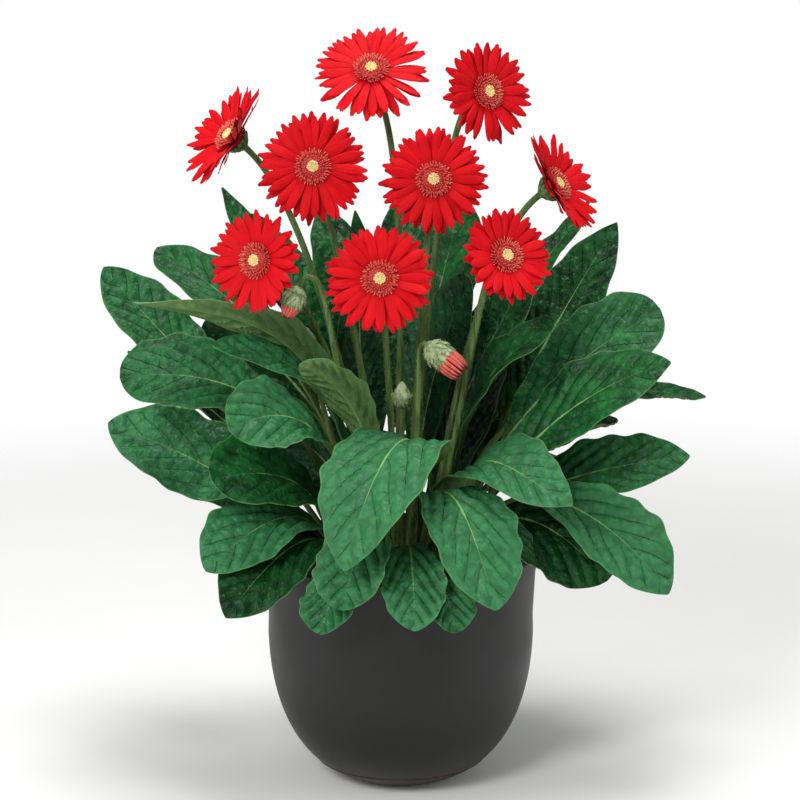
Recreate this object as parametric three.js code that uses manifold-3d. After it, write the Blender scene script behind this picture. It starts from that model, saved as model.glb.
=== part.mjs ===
// A potted gerbera: nine open blooms and four buds stand on bare stalks over a full
// rosette of arching leaves, planted in a plain bowl-shaped planter.
//
// Millimetres, +Z up. The origin is the middle of the pot's foot, and the front of
// the plant looks along -Y. Nothing moves: the plant stands in its soil, the soil
// fills the pot, and the pot stands on its foot.

import * as THREE from 'three';
import { mergeVertices } from 'three/addons/utils/BufferGeometryUtils.js';
import Module from 'manifold-3d';

const wasm = await Module();
wasm.setup();

// Driving dimensions.
const POT_HEIGHT = 188;
const POT_RIM_RADIUS = 111;
const POT_FOOT_RADIUS = 43;
const POT_WALL = 6;
const POT_SIDES = 28;
const CLEARANCE = 0.3; // between pieces that touch
const SOIL_LEVEL = POT_HEIGHT - 20; // at the wall
const SOIL_MOUND = 7; // rise to the crown
const ROOT_DEPTH = 14; // stalks below the soil level
const ROOT_LENGTH = 26; // straight start of every stalk
const BURROW_RADIUS = 4.7; // corners of the hole for a stalk
const CROWN_RADIUS = 66; // flat top of the soil, where everything roots

const CORE_RADIUS = 11; // red ring that the petals grow from
const CORE_BOTTOM = -3;
const CORE_TOP = 1;
const PETAL_ROOT = 7;
const PETAL_HALF_WIDTHS = [1.7, 4.9, 2.6]; // root, widest, tip
const PETAL_WIDEST = 0.62; // along its length
const PETAL_KEEL = [1.1, 1.3, 0.8];
const PETALS_PER_LAYER = 11;
const PETAL_REACH = [0.99, 1.06]; // shortest and longest, as shares of the bloom's
const PETAL_STRAY = 0.16; // of the step round the bloom
const PETAL_TILT = 2; // degrees, from petal to petal
const SCAPE_RADIUS = 2.8;

const group = new THREE.Group();
export default group;

const point = (x, y, z) => new THREE.Vector3(x, y, z);
const UP = point(0, 0, 1);
const radians = THREE.MathUtils.degToRad;
const mix = THREE.MathUtils.lerp;

// A small seeded random number generator, from 0 to 1.
function seeded(seed) {
  let state = seed;
  return () => {
    state = (state + 0x6d2b79f5) | 0;
    let mixed = Math.imul(state ^ (state >>> 15), 1 | state);
    mixed = (mixed + Math.imul(mixed ^ (mixed >>> 7), 61 | mixed)) ^ mixed;
    return ((mixed ^ (mixed >>> 14)) >>> 0) / 4294967296;
  };
}

function finish(color, roughness) {
  return new THREE.MeshStandardMaterial({ color, roughness, metalness: 0 });
}

function addPiece(name, geometry, material) {
  const mesh = new THREE.Mesh(geometry, material);
  mesh.name = name;
  group.add(mesh);
  return mesh;
}

// Solids for the joins and cuts, and back to geometry.
function solidOf(geometry) {
  const bare = geometry.clone();
  bare.deleteAttribute('normal');
  bare.deleteAttribute('uv');
  const merged = mergeVertices(bare, 1e-4);
  const mesh = new wasm.Mesh({
    numProp: 3,
    vertProperties: new Float32Array(merged.attributes.position.array),
    triVerts: new Uint32Array(merged.index.array),
  });
  return new wasm.Manifold(mesh);
}

function geometryOf(solid) {
  const mesh = solid.getMesh();
  const geometry = new THREE.BufferGeometry();
  geometry.setAttribute('position', new THREE.BufferAttribute(mesh.vertProperties, 3));
  geometry.setIndex(new THREE.BufferAttribute(mesh.triVerts, 1));
  return geometry;
}

function fuse(geometries) {
  const solids = geometries.map(solidOf);
  return geometryOf(solids.reduce((whole, part) => whole.add(part)));
}

function meshFrom(points, triangles) {
  const geometry = new THREE.BufferGeometry().setFromPoints(points);
  geometry.setIndex(triangles);
  return geometry;
}

// A thin blade between an upper and a lower sheet of points. Rows run along the
// blade and columns across it, and both sheets are split along the same diagonals.
function blade(upper, lower) {
  const rows = upper.length;
  const columns = upper[0].length;
  const at = (sheet, row, column) => (sheet * rows + row) * columns + column;
  const triangles = [];
  const quad = (a, b, c, d) => triangles.push(a, b, c, a, c, d);
  for (let row = 0; row < rows - 1; row += 1) {
    for (let column = 0; column < columns - 1; column += 1) {
      const corners = (sheet) => [
        at(sheet, row, column),
        at(sheet, row + 1, column),
        at(sheet, row + 1, column + 1),
        at(sheet, row, column + 1),
      ];
      quad(...corners(0));
      const [a, b, c, d] = corners(1);
      triangles.push(a, c, b, a, d, c);
    }
    const last = columns - 1;
    quad(at(0, row, 0), at(1, row, 0), at(1, row + 1, 0), at(0, row + 1, 0));
    quad(at(0, row, last), at(0, row + 1, last), at(1, row + 1, last), at(1, row, last));
  }
  for (let column = 0; column < columns - 1; column += 1) {
    const end = rows - 1;
    quad(at(0, 0, column), at(0, 0, column + 1), at(1, 0, column + 1), at(1, 0, column));
    quad(at(0, end, column), at(1, end, column), at(1, end, column + 1), at(0, end, column + 1));
  }
  return meshFrom([...upper.flat(), ...lower.flat()], triangles);
}

// A closed loft through rings of points, each ring running anticlockwise as seen
// from the far end.
function loft(rings) {
  const sides = rings[0].length;
  const triangles = [];
  for (let ring = 0; ring < rings.length - 1; ring += 1) {
    for (let side = 0; side < sides; side += 1) {
      const next = (side + 1) % sides;
      const a = ring * sides + side;
      const b = ring * sides + next;
      triangles.push(a, b, b + sides, a, b + sides, a + sides);
    }
  }
  const end = (rings.length - 1) * sides;
  for (let side = 1; side < sides - 1; side += 1) {
    triangles.push(0, side + 1, side, end, end + side, end + side + 1);
  }
  return meshFrom(rings.flat(), triangles);
}

function turned(profile, sides) {
  const outline = profile.map(([radius, height]) => new THREE.Vector2(radius, height));
  return new THREE.LatheGeometry(outline, sides).rotateX(Math.PI / 2);
}

function tube(path, radius, steps, sides = 5) {
  const section = new THREE.Shape();
  for (let side = 0; side < sides; side += 1) {
    const angle = (side / sides) * 2 * Math.PI;
    const method = side === 0 ? 'moveTo' : 'lineTo';
    section[method](radius * Math.cos(angle), radius * Math.sin(angle));
  }
  section.closePath();
  return new THREE.ExtrudeGeometry(section, { steps, extrudePath: path });
}

// ---- Pot: a thrown or moulded bowl with a plain rim and a flat foot --------------

// Radius and height of the outer wall, from the foot up to the start of the rim.
const bowl = new THREE.CubicBezierCurve(
  new THREE.Vector2(POT_FOOT_RADIUS, 0),
  new THREE.Vector2(77.5, 10),
  new THREE.Vector2(105.5, 46),
  new THREE.Vector2(107.8, 118),
);
const BOWL_BANDS = 6;
const LINING_BANDS = 2;
const FLOOR_THICKNESS = 7;
const LIP = 1.5; // rounding of the rim

// The bowl's curve moved inwards by a thickness, above a given floor.
function bowlInside(thickness, floor) {
  const outline = [];
  for (let band = 0; band <= LINING_BANDS; band += 1) {
    const place = bowl.getPointAt(band / LINING_BANDS);
    const along = bowl.getTangentAt(band / LINING_BANDS);
    const height = place.y + thickness * along.x;
    outline.push([place.x - thickness * along.y, Math.max(height, floor)]);
  }
  return outline;
}

function potProfile() {
  const outer = bowl.getSpacedPoints(BOWL_BANDS).map((at) => [at.x, at.y]);
  return [
    [0, 0],
    ...outer,
    [POT_RIM_RADIUS, POT_HEIGHT - LIP],
    [POT_RIM_RADIUS - LIP, POT_HEIGHT],
    [POT_RIM_RADIUS - POT_WALL + LIP, POT_HEIGHT],
    [POT_RIM_RADIUS - POT_WALL, POT_HEIGHT - LIP],
    ...bowlInside(POT_WALL, FLOOR_THICKNESS).reverse(),
    [0, FLOOR_THICKNESS],
  ];
}

const potMaterial = finish(0x2d2b2a, 0.55);
addPiece('pot', turned(potProfile(), POT_SIDES), potMaterial);

// ---- Leaves -----------------------------------------------------------------------
// A leaf is a stalk that rises from the crown and carries on as the midrib of an
// oval blade. tip: where it ends. at: its root in the crown, in degrees round from +X
// and mm out. rise and lean: how far the stalk's first pull goes up and out.
// sway moves that pull towards +X. droop: slope of the tip below level, over a pull of
// arm. width and length: of the blade. swell and taper: how fast it widens from its base
// and narrows to its tip, 1 for straight sides. roll: twist of the blade at its base and
// tip towards the front, in degrees. fold: rise of the margins, as a share of the width.

const LEAF_DEFAULTS = { lean: 12, droop: 40, arm: 60, width: 62, length: 130, roll: [0, 0],
  rows: 7, fold: 0.16, sway: 0, swell: 1.2, taper: 0.62 };

const LEAVES = {
  // Front, hanging over the rim.
  leaf_01: [
    { tip: [-42, -160, 213], at: [-50, 47], rise: 236, lean: 30, droop: 66, arm: 75, width: 90,
      length: 172, rows: 9, fold: 0.06, sway: 12, swell: 0.75, taper: 0.85 },
  ],
  leaf_02: [
    { tip: [72, -145, 178], at: [-75, 50], rise: 175, lean: 20, droop: 62, arm: 65, width: 78,
      length: 140, rows: 9, fold: 0.08, swell: 1.0, taper: 0.78 },
    { tip: [102, -90, 198], at: [-70.4, 50], rise: 120, droop: 45, arm: 50, width: 44, length: 100,
      rows: 5 },
  ],
  leaf_03: [
    { tip: [130, -120, 254], at: [-38, 50], rise: 178, lean: 0, droop: 8, width: 70, length: 158,
      roll: [5, 35], swell: 0.52, taper: 0.8 },
  ],
  leaf_04: [
    { tip: [11, -140, 160], at: [-86, 56], rise: 95, droop: 70, arm: 55, width: 50, length: 90,
      rows: 6, taper: 0.75 },
    { tip: [42, -128, 155], at: [-81.9, 56], rise: 85, droop: 65, arm: 50, width: 42, length: 80,
      rows: 5 },
  ],
  leaf_05: [
    { tip: [-44, -145, 178], at: [-101, 50], rise: 112, droop: 60, arm: 55, width: 58, length: 105,
      rows: 6 },
    { tip: [-62, -125, 153], at: [-105.6, 50], rise: 82, droop: 60, arm: 50, width: 48, length: 80,
      rows: 5 },
    { tip: [-78, -72, 352], at: [-97.5, 47], rise: 108, droop: -20, arm: 64, width: 37, length: 104,
      roll: [-50, -50], rows: 5, swell: 0.9 },
  ],
  // Left side, from the lowest up.
  leaf_06: [
    { tip: [-135, -105, 160], at: [-143, 52], rise: 95, droop: 45, width: 64, length: 155,
      roll: [15, 40], rows: 6, taper: 0.85 },
  ],
  leaf_07: [
    { tip: [-151, -90, 193], at: [-155, 52], rise: 100, droop: 38, arm: 65, width: 68, length: 150,
      roll: [10, 35], rows: 6, taper: 0.75 },
  ],
  leaf_08: [
    { tip: [-146, -87, 265], at: [-165, 48], rise: 105, droop: 4, width: 74, length: 140,
      roll: [20, 50], swell: 0.9, taper: 0.55 },
    { tip: [-159, -52, 242], at: [-169.8, 48], rise: 112, droop: 22, width: 40, roll: [10, 20],
      rows: 5 },
  ],
  leaf_09: [
    { tip: [-237, 20, 286], at: [178, 52], rise: 58, lean: 30, droop: -18, arm: 90, width: 83,
      length: 170, roll: [25, 45], swell: 0.9, taper: 0.75 },
  ],
  leaf_10: [
    { tip: [-130, -105, 308], at: [-132, 42], rise: 165, droop: 22, arm: 50, length: 110,
      roll: [20, 60], rows: 6 },
  ],
  leaf_11: [
    { tip: [-222, -20, 331], at: [-176, 38], rise: 145, droop: 10, arm: 90, width: 71, length: 160,
      roll: [25, 50], taper: 0.55 },
  ],
  leaf_12: [
    { tip: [-247, 100, 401], at: [162, 45], rise: 103, lean: 50, droop: -46, arm: 90, width: 60,
      length: 190, roll: [20, 40], swell: 1.3, taper: 0.75 },
    { tip: [-233, 140, 322], at: [156.9, 45], rise: 80, lean: 40, droop: -20, arm: 80, width: 40,
      length: 150, roll: [0, 10], rows: 5, taper: 0.9 },
  ],
  leaf_13: [
    { tip: [-209, 168, 407], at: [148, 37], rise: 176, droop: -20, arm: 80, length: 190,
      roll: [0, 20], taper: 0.7 },
  ],
  // Right side, from the lowest up.
  leaf_14: [
    { tip: [210, -68, 168], at: [-12, 52], rise: 136, droop: 56, arm: 80, width: 68, length: 150,
      roll: [20, 50], taper: 0.85 },
    { tip: [163, -55, 175], at: [-7.6, 52], rise: 100, droop: 48, width: 72, length: 140,
      roll: [30, 60], rows: 5 },
  ],
  leaf_15: [
    { tip: [233, 6, 262], at: [2, 52], rise: 80, droop: -6, arm: 90, length: 160, roll: [25, 40],
      taper: 0.85 },
    { tip: [178, 60, 281], at: [6.4, 52], rise: 95, droop: -5, arm: 70, width: 58, length: 140,
      rows: 5 },
  ],
  leaf_16: [
    { tip: [211, -40, 348], at: [-18, 42], rise: 105, lean: 25, droop: -16, arm: 80, width: 68,
      length: 170, roll: [35, 45], taper: 0.9 },
  ],
  leaf_17: [
    { tip: [208, 18, 380], at: [-1, 40], rise: 131, lean: 20, droop: -28, arm: 80, width: 72,
      length: 180, roll: [30, 50], taper: 0.5 },
  ],
  leaf_18: [
    { tip: [180, 110, 437], at: [30, 41], rise: 118, lean: 40, droop: -52, arm: 90, width: 58,
      length: 200, roll: [25, 40], taper: 0.95 },
  ],
  leaf_19: [
    { tip: [121, -30, 378], at: [-6, 33], rise: 170, droop: -35, arm: 70, width: 58, length: 170,
      roll: [10, 30], rows: 6 },
  ],
  // The rest, in tufts that share a root.
  leaves_left: [
    { tip: [-207, -40, 395], at: [-160, 28], rise: 235, droop: -8, arm: 90, width: 46, length: 205,
      roll: [-40, -50], rows: 6, swell: 0.9, taper: 1.5 },
    { tip: [-146, -44, 362], at: [-153, 29], rise: 190, droop: -10, arm: 70, width: 48, length: 198,
      roll: [10, 30], rows: 6, swell: 0.9 },
  ],
  leaves_right: [
    { tip: [210, 70, 362], at: [14, 37], rise: 105, droop: -32, arm: 80, width: 50, length: 170,
      roll: [-10, -30] },
    { tip: [255, 90, 293], at: [20.2, 37], rise: 176, droop: 12, arm: 90, width: 38, length: 150,
      roll: [10, 20], rows: 5, taper: 0.9 },
  ],
  leaves_back_left: [
    { tip: [-152, 160, 460], at: [136, 30], rise: 190, lean: 25, droop: -45, arm: 80, width: 38,
      length: 180, rows: 5, sway: -15, taper: 1 },
    { tip: [-126, 120, 443], at: [128.4, 30], rise: 190, lean: 20, droop: -50, arm: 80, width: 52,
      length: 180, rows: 4 },
    { tip: [-66, 150, 446], at: [120.8, 30], rise: 190, lean: 20, droop: -50, arm: 80, width: 52,
      length: 190, rows: 5, taper: 0.8 },
    { tip: [-38, 110, 447], at: [113.2, 30], rise: 190, lean: 10, droop: -65, arm: 80, width: 42,
      length: 210, rows: 5, sway: -30, swell: 0.6, taper: 0.9 },
  ],
  leaves_back_right: [
    { tip: [2, 150, 455], at: [88.4, 30], rise: 200, lean: 15, droop: -60, arm: 80, width: 54,
      length: 210, rows: 5, swell: 0.6 },
    { tip: [50, 120, 454], at: [80.8, 30], rise: 200, lean: 10, droop: -65, arm: 80, width: 72,
      length: 200, rows: 5 },
    { tip: [52, 62, 402], at: [73.2, 30], rise: 165, lean: 3, droop: -74, arm: 70, width: 68,
      length: 180, rows: 5 },
    { tip: [162, 178, 447], at: [65.6, 30], rise: 190, lean: 25, droop: -45, arm: 80, width: 34,
      length: 180, rows: 5, taper: 1 },
    { tip: [107, 88, 404], at: [58, 30], rise: 150, lean: 25, droop: -58, arm: 80, width: 66,
      length: 180, rows: 5 },
    { tip: [86, 112, 345], at: [50.4, 30], rise: 84, lean: 20, droop: -54, width: 52, length: 165,
      rows: 5, swell: 0.7 },
  ],
  leaves_low_left: [
    { tip: [-101, 84, 268], at: [139.2, 50], rise: 100, droop: -20, arm: 50, width: 64, length: 125,
      roll: [40, 50], rows: 4, swell: 0.85 },
    { tip: [-158, 154, 252], at: [134.6, 50], rise: 110, droop: 22, arm: 70, width: 56, rows: 4 },
    { tip: [-165, 150, 350], at: [130, 50], rise: 150, droop: -20, arm: 70, width: 60, length: 150,
      roll: [30, 40], rows: 4 },
    { tip: [-22, 215, 308], at: [125.4, 50], rise: 175, droop: 8, arm: 70, width: 64, rows: 4 },
    { tip: [-50, 185, 172], at: [120.8, 50], rise: 122, droop: 55, arm: 65, width: 60, rows: 4 },
  ],
  leaves_low_right: [
    { tip: [118, 118, 308], at: [57.2, 50], rise: 90, droop: -25, arm: 50, width: 64, length: 150,
      roll: [30, 40], rows: 4, swell: 0.7 },
    { tip: [170, 134, 215], at: [52.6, 50], rise: 75, droop: 30, arm: 70, rows: 4 },
    { tip: [124, 185, 320], at: [61.8, 50], rise: 150, droop: 5, arm: 70, rows: 4 },
    { tip: [78, 205, 300], at: [66.4, 50], rise: 160, droop: 5, arm: 70, rows: 4 },
    { tip: [0, 200, 196], at: [71, 50], rise: 155, droop: 52, arm: 70, width: 64, length: 180,
      rows: 4 },
  ],
};

function leafCurve(leaf) {
  const tip = point(...leaf.tip);
  const [degrees, radius] = leaf.at;
  const angle = radians(degrees);
  const z = SOIL_LEVEL - ROOT_DEPTH;
  const root = point(radius * Math.cos(angle), radius * Math.sin(angle), z);
  const outward = tip.clone().sub(root).setZ(0).normalize();
  const rising = root.clone().addScaledVector(UP, leaf.rise).addScaledVector(outward, leaf.lean);
  rising.x += leaf.sway;
  const slope = radians(leaf.droop);
  const ending = outward.clone().multiplyScalar(Math.cos(slope));
  ending.addScaledVector(UP, -Math.sin(slope));
  const arriving = tip.clone().addScaledVector(ending, -leaf.arm);
  const curve = new THREE.CubicBezierCurve3(root, rising, arriving, tip);
  return { curve, outward, root };
}

const STALK_HALF_WIDTH = 2.2;
const STALK_THICKNESS = 3.6;
const RIB_THICKNESS = 1.7;
const EDGE_THICKNESS = 0.7;
const TIP_HALF_WIDTH = 1.6;
const WAVE = 2.4; // swing of the margins
const WAVES = 2.5; // along the blade
const SHORTEST_STALK = 0.1; // share of a leaf's length
const TURNING = 0.25; // share of the blade over which it takes up its twist
const THINNING = 0.2; // share of the blade over which it thins from stalk to leaf

// Share of the blade's half width at a place along it, 1 at the widest.
function bladeOutline(leaf, along) {
  const widest = leaf.swell / (leaf.swell + leaf.taper);
  const base = (along / widest) ** leaf.swell;
  return base * ((1 - along) / (1 - widest)) ** leaf.taper;
}

// Rows of a leaf along its curve: the straight root, the stalk, then the blade.
function leafRows(leaf, reach) {
  const start = ROOT_LENGTH / reach;
  const base = Math.max(1 - leaf.length / reach, start + SHORTEST_STALK);
  const rows = [0, start, (start + base) / 2];
  for (let row = 0; row <= leaf.rows; row += 1) {
    rows.push(mix(base, 1, row / leaf.rows));
  }
  return rows.map((at) => ({ at, along: THREE.MathUtils.clamp((at - base) / (1 - base), 0, 1) }));
}

function leafGeometry(leaf, seed) {
  const random = seeded(seed);
  const phases = [random() * 2 * Math.PI, random() * 2 * Math.PI];
  const { curve, outward } = leafCurve(leaf);
  const level = UP.clone().cross(outward).normalize();
  const front = Math.sign(outward.x) || 1;
  const upper = [];
  const lower = [];
  for (const { at, along } of leafRows(leaf, curve.getLength())) {
    const centre = curve.getPointAt(at);
    const tangent = curve.getTangentAt(at);
    const roll = radians(mix(...leaf.roll, along)) * front * Math.min(1, along / TURNING);
    const side = level.clone().applyAxisAngle(tangent, roll);
    const normal = tangent.clone().cross(side).normalize();
    const inBlade = along > 0 && along < 1;
    const spread = inBlade ? bladeOutline(leaf, along) : 0;
    const narrow = along < 1 ? STALK_HALF_WIDTH : TIP_HALF_WIDTH;
    const half = mix(narrow, leaf.width / 2, spread);
    const thin = Math.min(1, along / THINNING);
    const edgeDepth = mix(STALK_THICKNESS, EDGE_THICKNESS, thin);
    const ribDepth = mix(STALK_THICKNESS, RIB_THICKNESS, thin);
    centre.addScaledVector(normal, ribDepth / 2);
    const edge = (sign, phase) => {
      const swing = WAVE * Math.sin(along * WAVES * 2 * Math.PI + phase);
      const lift = spread * (leaf.fold * half + swing);
      return centre.clone().addScaledVector(side, sign * half).addScaledVector(normal, lift);
    };
    const tops = [edge(-1, phases[0]), centre, edge(1, phases[1])];
    const depths = [edgeDepth, ribDepth, edgeDepth];
    upper.push(tops);
    lower.push(tops.map((top, i) => top.clone().addScaledVector(normal, -depths[i])));
  }
  return blade(upper, lower);
}

const burrows = [];
const BURROW_SIDES = 4;
const BURROW_ABOVE = 6; // past the straight root
const BURROW_BELOW = 1;

// Straight hole for the root of a stalk whose first step is a share of its length,
// from just below its end to above the soil.
function burrowFor(curve, share) {
  const foot = curve.getPointAt(0);
  const step = curve.getPointAt(share);
  const exit = foot.clone().add(step.sub(foot).setLength(ROOT_LENGTH));
  const direction = exit.clone().sub(foot).normalize();
  const low = foot.clone().addScaledVector(direction, -BURROW_BELOW);
  const high = exit.clone().addScaledVector(direction, BURROW_ABOVE);
  burrows.push(tube(new THREE.LineCurve3(low, high), BURROW_RADIUS, 1, BURROW_SIDES));
}

const leafMaterial = finish(0x1f6b35, 0.5);
let leafSeed = 1;
for (const [name, leaves] of Object.entries(LEAVES)) {
  const shapes = leaves.map((entry) => {
    const leaf = { ...LEAF_DEFAULTS, ...entry };
    leafSeed += 1;
    const { curve } = leafCurve(leaf);
    burrowFor(curve, ROOT_LENGTH / curve.getLength());
    return leafGeometry(leaf, leafSeed);
  });
  addPiece(name, shapes.length > 1 ? fuse(shapes) : shapes[0], leafMaterial);
}

// ---- Blooms -----------------------------------------------------------------------
// centre and radius: of the bloom. root: where the stalk stands in the crown. yaw and
// pitch: which way the bloom faces, from the front round to +X and up. lean: the
// stalk's first pull. neck: length of the bend below the bloom, with a sway sideways.
// cup: slope of the petals.

const BLOOMS = [
  { centre: [-23, 15, 570.5], radius: 44, root: [-4.5, 10], yaw: -3, pitch: 42, lean: [8, 5, 270],
    neck: 70, sway: 20, cup: 0 },
  { centre: [-68, -25, 499.5], radius: 42, root: [-9.5, 1.5], yaw: 0, pitch: 12,
    lean: [-15, 10, 200], neck: 45, sway: 0, cup: 0 },
  { centre: [25.5, -20, 489], radius: 41, root: [5, -7], yaw: 0, pitch: 12, lean: [8, 15, 220],
    neck: 45, sway: 0, cup: 0 },
  { centre: [67, 15, 553.5], radius: 39.5, root: [5, 10], yaw: 34, pitch: 14, lean: [15, 15, 230],
    neck: 45, sway: 0, cup: 4 },
  { centre: [-132.5, 0, 520], radius: 43.5, root: [-14, 10], yaw: -53, pitch: 35,
    lean: [-30, 5, 200], neck: 60, sway: 0, cup: 8 },
  { centre: [-110, -60, 431.5], radius: 39, root: [-14, -7], yaw: -30, pitch: 10,
    lean: [-25, 25, 170], neck: 40, sway: 0, cup: 9 },
  { centre: [121, -5, 482.5], radius: 42, root: [19, 1.5], yaw: 58, pitch: 31,
    lean: [25, 5, 190], neck: 50, sway: 0, cup: 12 },
  { centre: [-16, -75, 420], radius: 41, root: [-4.5, -7], yaw: 0, pitch: 12,
    lean: [0, -25, 160], neck: 40, sway: 0, cup: 0 },
  { centre: [80, -55, 434], radius: 37, root: [14.5, -7], yaw: 25, pitch: 22, lean: [38, -15, 140],
    neck: 40, sway: 0, cup: 13 },
];

const CUP_PROFILE = [[0, -15], [3.4, -15], [8, -10], [10.2, -6], [10.4, CORE_BOTTOM - CLEARANCE],
  [0, CORE_BOTTOM - CLEARANCE]];
const CUP_SIDES = 8;
const CORE_SIDES = 8;
const DISC_SIDES = 8;
const DISC_PROFILE = [[0, CORE_TOP + CLEARANCE], [5.5, CORE_TOP + CLEARANCE], [12.8, 5.2], [9.5, 7.4],
  [5.6, 6.2], [0, 7]];
const FRINGE_RELIEF = 0.6; // of the florets, outside a radius and above a height
const FRINGE_INSIDE = 8;
const FRINGE_FOOT = 5;
const FRINGE_PITCH = 1.7; // radians of relief to a millimetre outwards
const LAYERS = [{ height: 0.1, slope: 4 }, { height: -1.6, slope: -1 }];
const NECK_END = 12; // where the stalk ends, behind the bloom's centre

// Turns local +Z to the way the bloom faces and moves it to its place.
function bloomFrame(centre, yaw, pitch) {
  const y = radians(yaw);
  const p = radians(pitch);
  const facing = point(Math.sin(y) * Math.cos(p), -Math.cos(y) * Math.cos(p), Math.sin(p));
  const across = point(Math.cos(y), Math.sin(y), 0);
  const frame = new THREE.Matrix4().makeBasis(across, facing.clone().cross(across), facing);
  return { facing, frame: frame.setPosition(point(...centre)) };
}

// One petal: a flat top over a shallow keel, rooted inside the core.
function petal(angle, height, slope, length) {
  const stations = [0, PETAL_WIDEST, 1];
  const rings = stations.map((share, i) => {
    const out = share * length;
    const place = point(PETAL_ROOT + out * Math.cos(slope), 0, height + out * Math.sin(slope));
    const half = PETAL_HALF_WIDTHS[i];
    return [
      place.clone().add(point(0, half, 0)),
      place.clone().add(point(0, -half, 0)),
      place.clone().add(point(0, 0, -PETAL_KEEL[i])),
    ];
  });
  return loft(rings).rotateZ(angle);
}

function raysGeometry(bloom, random) {
  const parts = [turned([[0, CORE_BOTTOM], [CORE_RADIUS, CORE_BOTTOM], [CORE_RADIUS, CORE_TOP],
    [0, CORE_TOP]], CORE_SIDES)];
  LAYERS.forEach((layer, level) => {
    for (let count = 0; count < PETALS_PER_LAYER; count += 1) {
      const step = (2 * Math.PI) / PETALS_PER_LAYER;
      const angle = (count + level / 2 + (random() - 0.5) * PETAL_STRAY) * step;
      const slope = radians(bloom.cup + layer.slope + (random() - 0.5) * PETAL_TILT);
      const length = (bloom.radius - PETAL_ROOT) * mix(...PETAL_REACH, random());
      parts.push(petal(angle, layer.height, slope, length));
    }
  });
  return fuse(parts);
}

// Rings of florets as relief round a slightly sunk eye.
function discGeometry() {
  const geometry = turned(DISC_PROFILE, DISC_SIDES);
  const places = geometry.attributes.position;
  for (let i = 0; i < places.count; i += 1) {
    const radius = Math.hypot(places.getX(i), places.getY(i));
    const angle = Math.atan2(places.getY(i), places.getX(i));
    const crest = Math.cos((DISC_SIDES / 2) * angle) * Math.cos(radius * FRINGE_PITCH);
    const top = places.getZ(i) > FRINGE_FOOT && radius > FRINGE_INSIDE;
    places.setZ(i, places.getZ(i) + (top ? FRINGE_RELIEF * crest : 0));
  }
  return geometry;
}

const scapeMaterial = finish(0x7a9a55, 0.6);
const petalMaterial = finish(0xe01b22, 0.55);
const discMaterial = finish(0xe8b878, 0.7);
const SCAPE_STEPS = 6;

function scapeCurve(bloom, facing) {
  const root = point(...bloom.root, SOIL_LEVEL - ROOT_DEPTH);
  const end = point(...bloom.centre).addScaledVector(facing, -NECK_END);
  const rising = root.clone().add(point(...bloom.lean));
  const arriving = end.clone().addScaledVector(facing, -bloom.neck);
  arriving.x += bloom.sway;
  return new THREE.CubicBezierCurve3(root, rising, arriving, end);
}

BLOOMS.forEach((bloom, index) => {
  const label = String(index + 1);
  const { facing, frame } = bloomFrame(bloom.centre, bloom.yaw, bloom.pitch);
  const curve = scapeCurve(bloom, facing);
  burrowFor(curve, 1 / SCAPE_STEPS);
  const cup = turned(CUP_PROFILE, CUP_SIDES).applyMatrix4(frame);
  addPiece(`stem_${label}`, fuse([tube(curve, SCAPE_RADIUS, SCAPE_STEPS), cup]), scapeMaterial);
  const rays = addPiece(`rays_${label}`, raysGeometry(bloom, seeded(100 + index)), petalMaterial);
  const disc = addPiece(`disc_${label}`, discGeometry(), discMaterial);
  [rays, disc].forEach((mesh) => mesh.applyMatrix4(frame));
});

// ---- Buds -------------------------------------------------------------------------
// Two nodding buds show the ends of their red petals, and two young ones are shut.
// route: the stalk above its root. axis: the way the bud points. open and tip: length of
// the petals that show, and the radius of their bundle at its end.

const BUDS = [
  { root: [-9.5, -15.5], axis: [-0.42, -0.15, -0.9], scale: 0.85, open: 11, tip: 3.4,
    route: [[-24, -28, 250], [-49, -46, 345], [-58, -54, 395], [-65, -58, 416], [-73, -60, 419],
      [-78, -60, 410]] },
  { root: [9.5, -15.5], axis: [0.79, -0.15, -0.6], scale: 1, open: 16, tip: 7.2,
    route: [[11, -36, 240], [13, -47, 305], [14.5, -50, 347], [14.8, -50, 359.5], [17.5, -50, 365],
      [21, -50.5, 363.5]] },
  { root: [0, -15.5], axis: [0, -0.2, 1], scale: 0.78, open: 0,
    route: [[-0.5, -21, 200], [0, -33, 260], [1, -40, 313.5]] },
  { root: [-19, 1.5], axis: [-0.2, 0.1, 1], scale: 0.62, open: 0,
    route: [[-40, 5, 230], [-62, 11, 300], [-73, 14, 350]] },
];
const CALYX_TOP = 19;
const CALYX_PROFILE = [[0, -2], [2.4, -2], [7, 3], [10.4, 10], [9.6, CALYX_TOP], [0, CALYX_TOP]];
const SHUT_TOP = [[0, -2], [2.4, -2], [7.6, 3], [9.4, 9], [6.6, 18], [0, 27]];
const QUILL_SIDES = 12;
const QUILL_RADIUS = 8.8; // of the bundle at the calyx
const QUILL_GROOVE = 0.08; // depth of the folds, as a share of the radius
const QUILL_BEND = 0.6; // share of the bundle's length where it draws in
const QUILL_BELLY = 0.4; // how far it stays out there
const BUD_STEPS = 9;

function quillsGeometry({ open, tip }) {
  const base = CALYX_TOP + CLEARANCE;
  const middle = (QUILL_RADIUS + tip) / 2 + QUILL_BELLY;
  const geometry = turned([[0, base], [QUILL_RADIUS, base], [middle, base + open * QUILL_BEND],
    [tip, base + open], [0, base + open - 1]], QUILL_SIDES);
  const places = geometry.attributes.position;
  for (let i = 0; i < places.count; i += 1) {
    const angle = Math.atan2(places.getY(i), places.getX(i));
    const groove = 1 + QUILL_GROOVE * Math.cos((QUILL_SIDES / 2) * angle);
    places.setX(i, places.getX(i) * groove);
    places.setY(i, places.getY(i) * groove);
  }
  return geometry;
}

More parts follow.
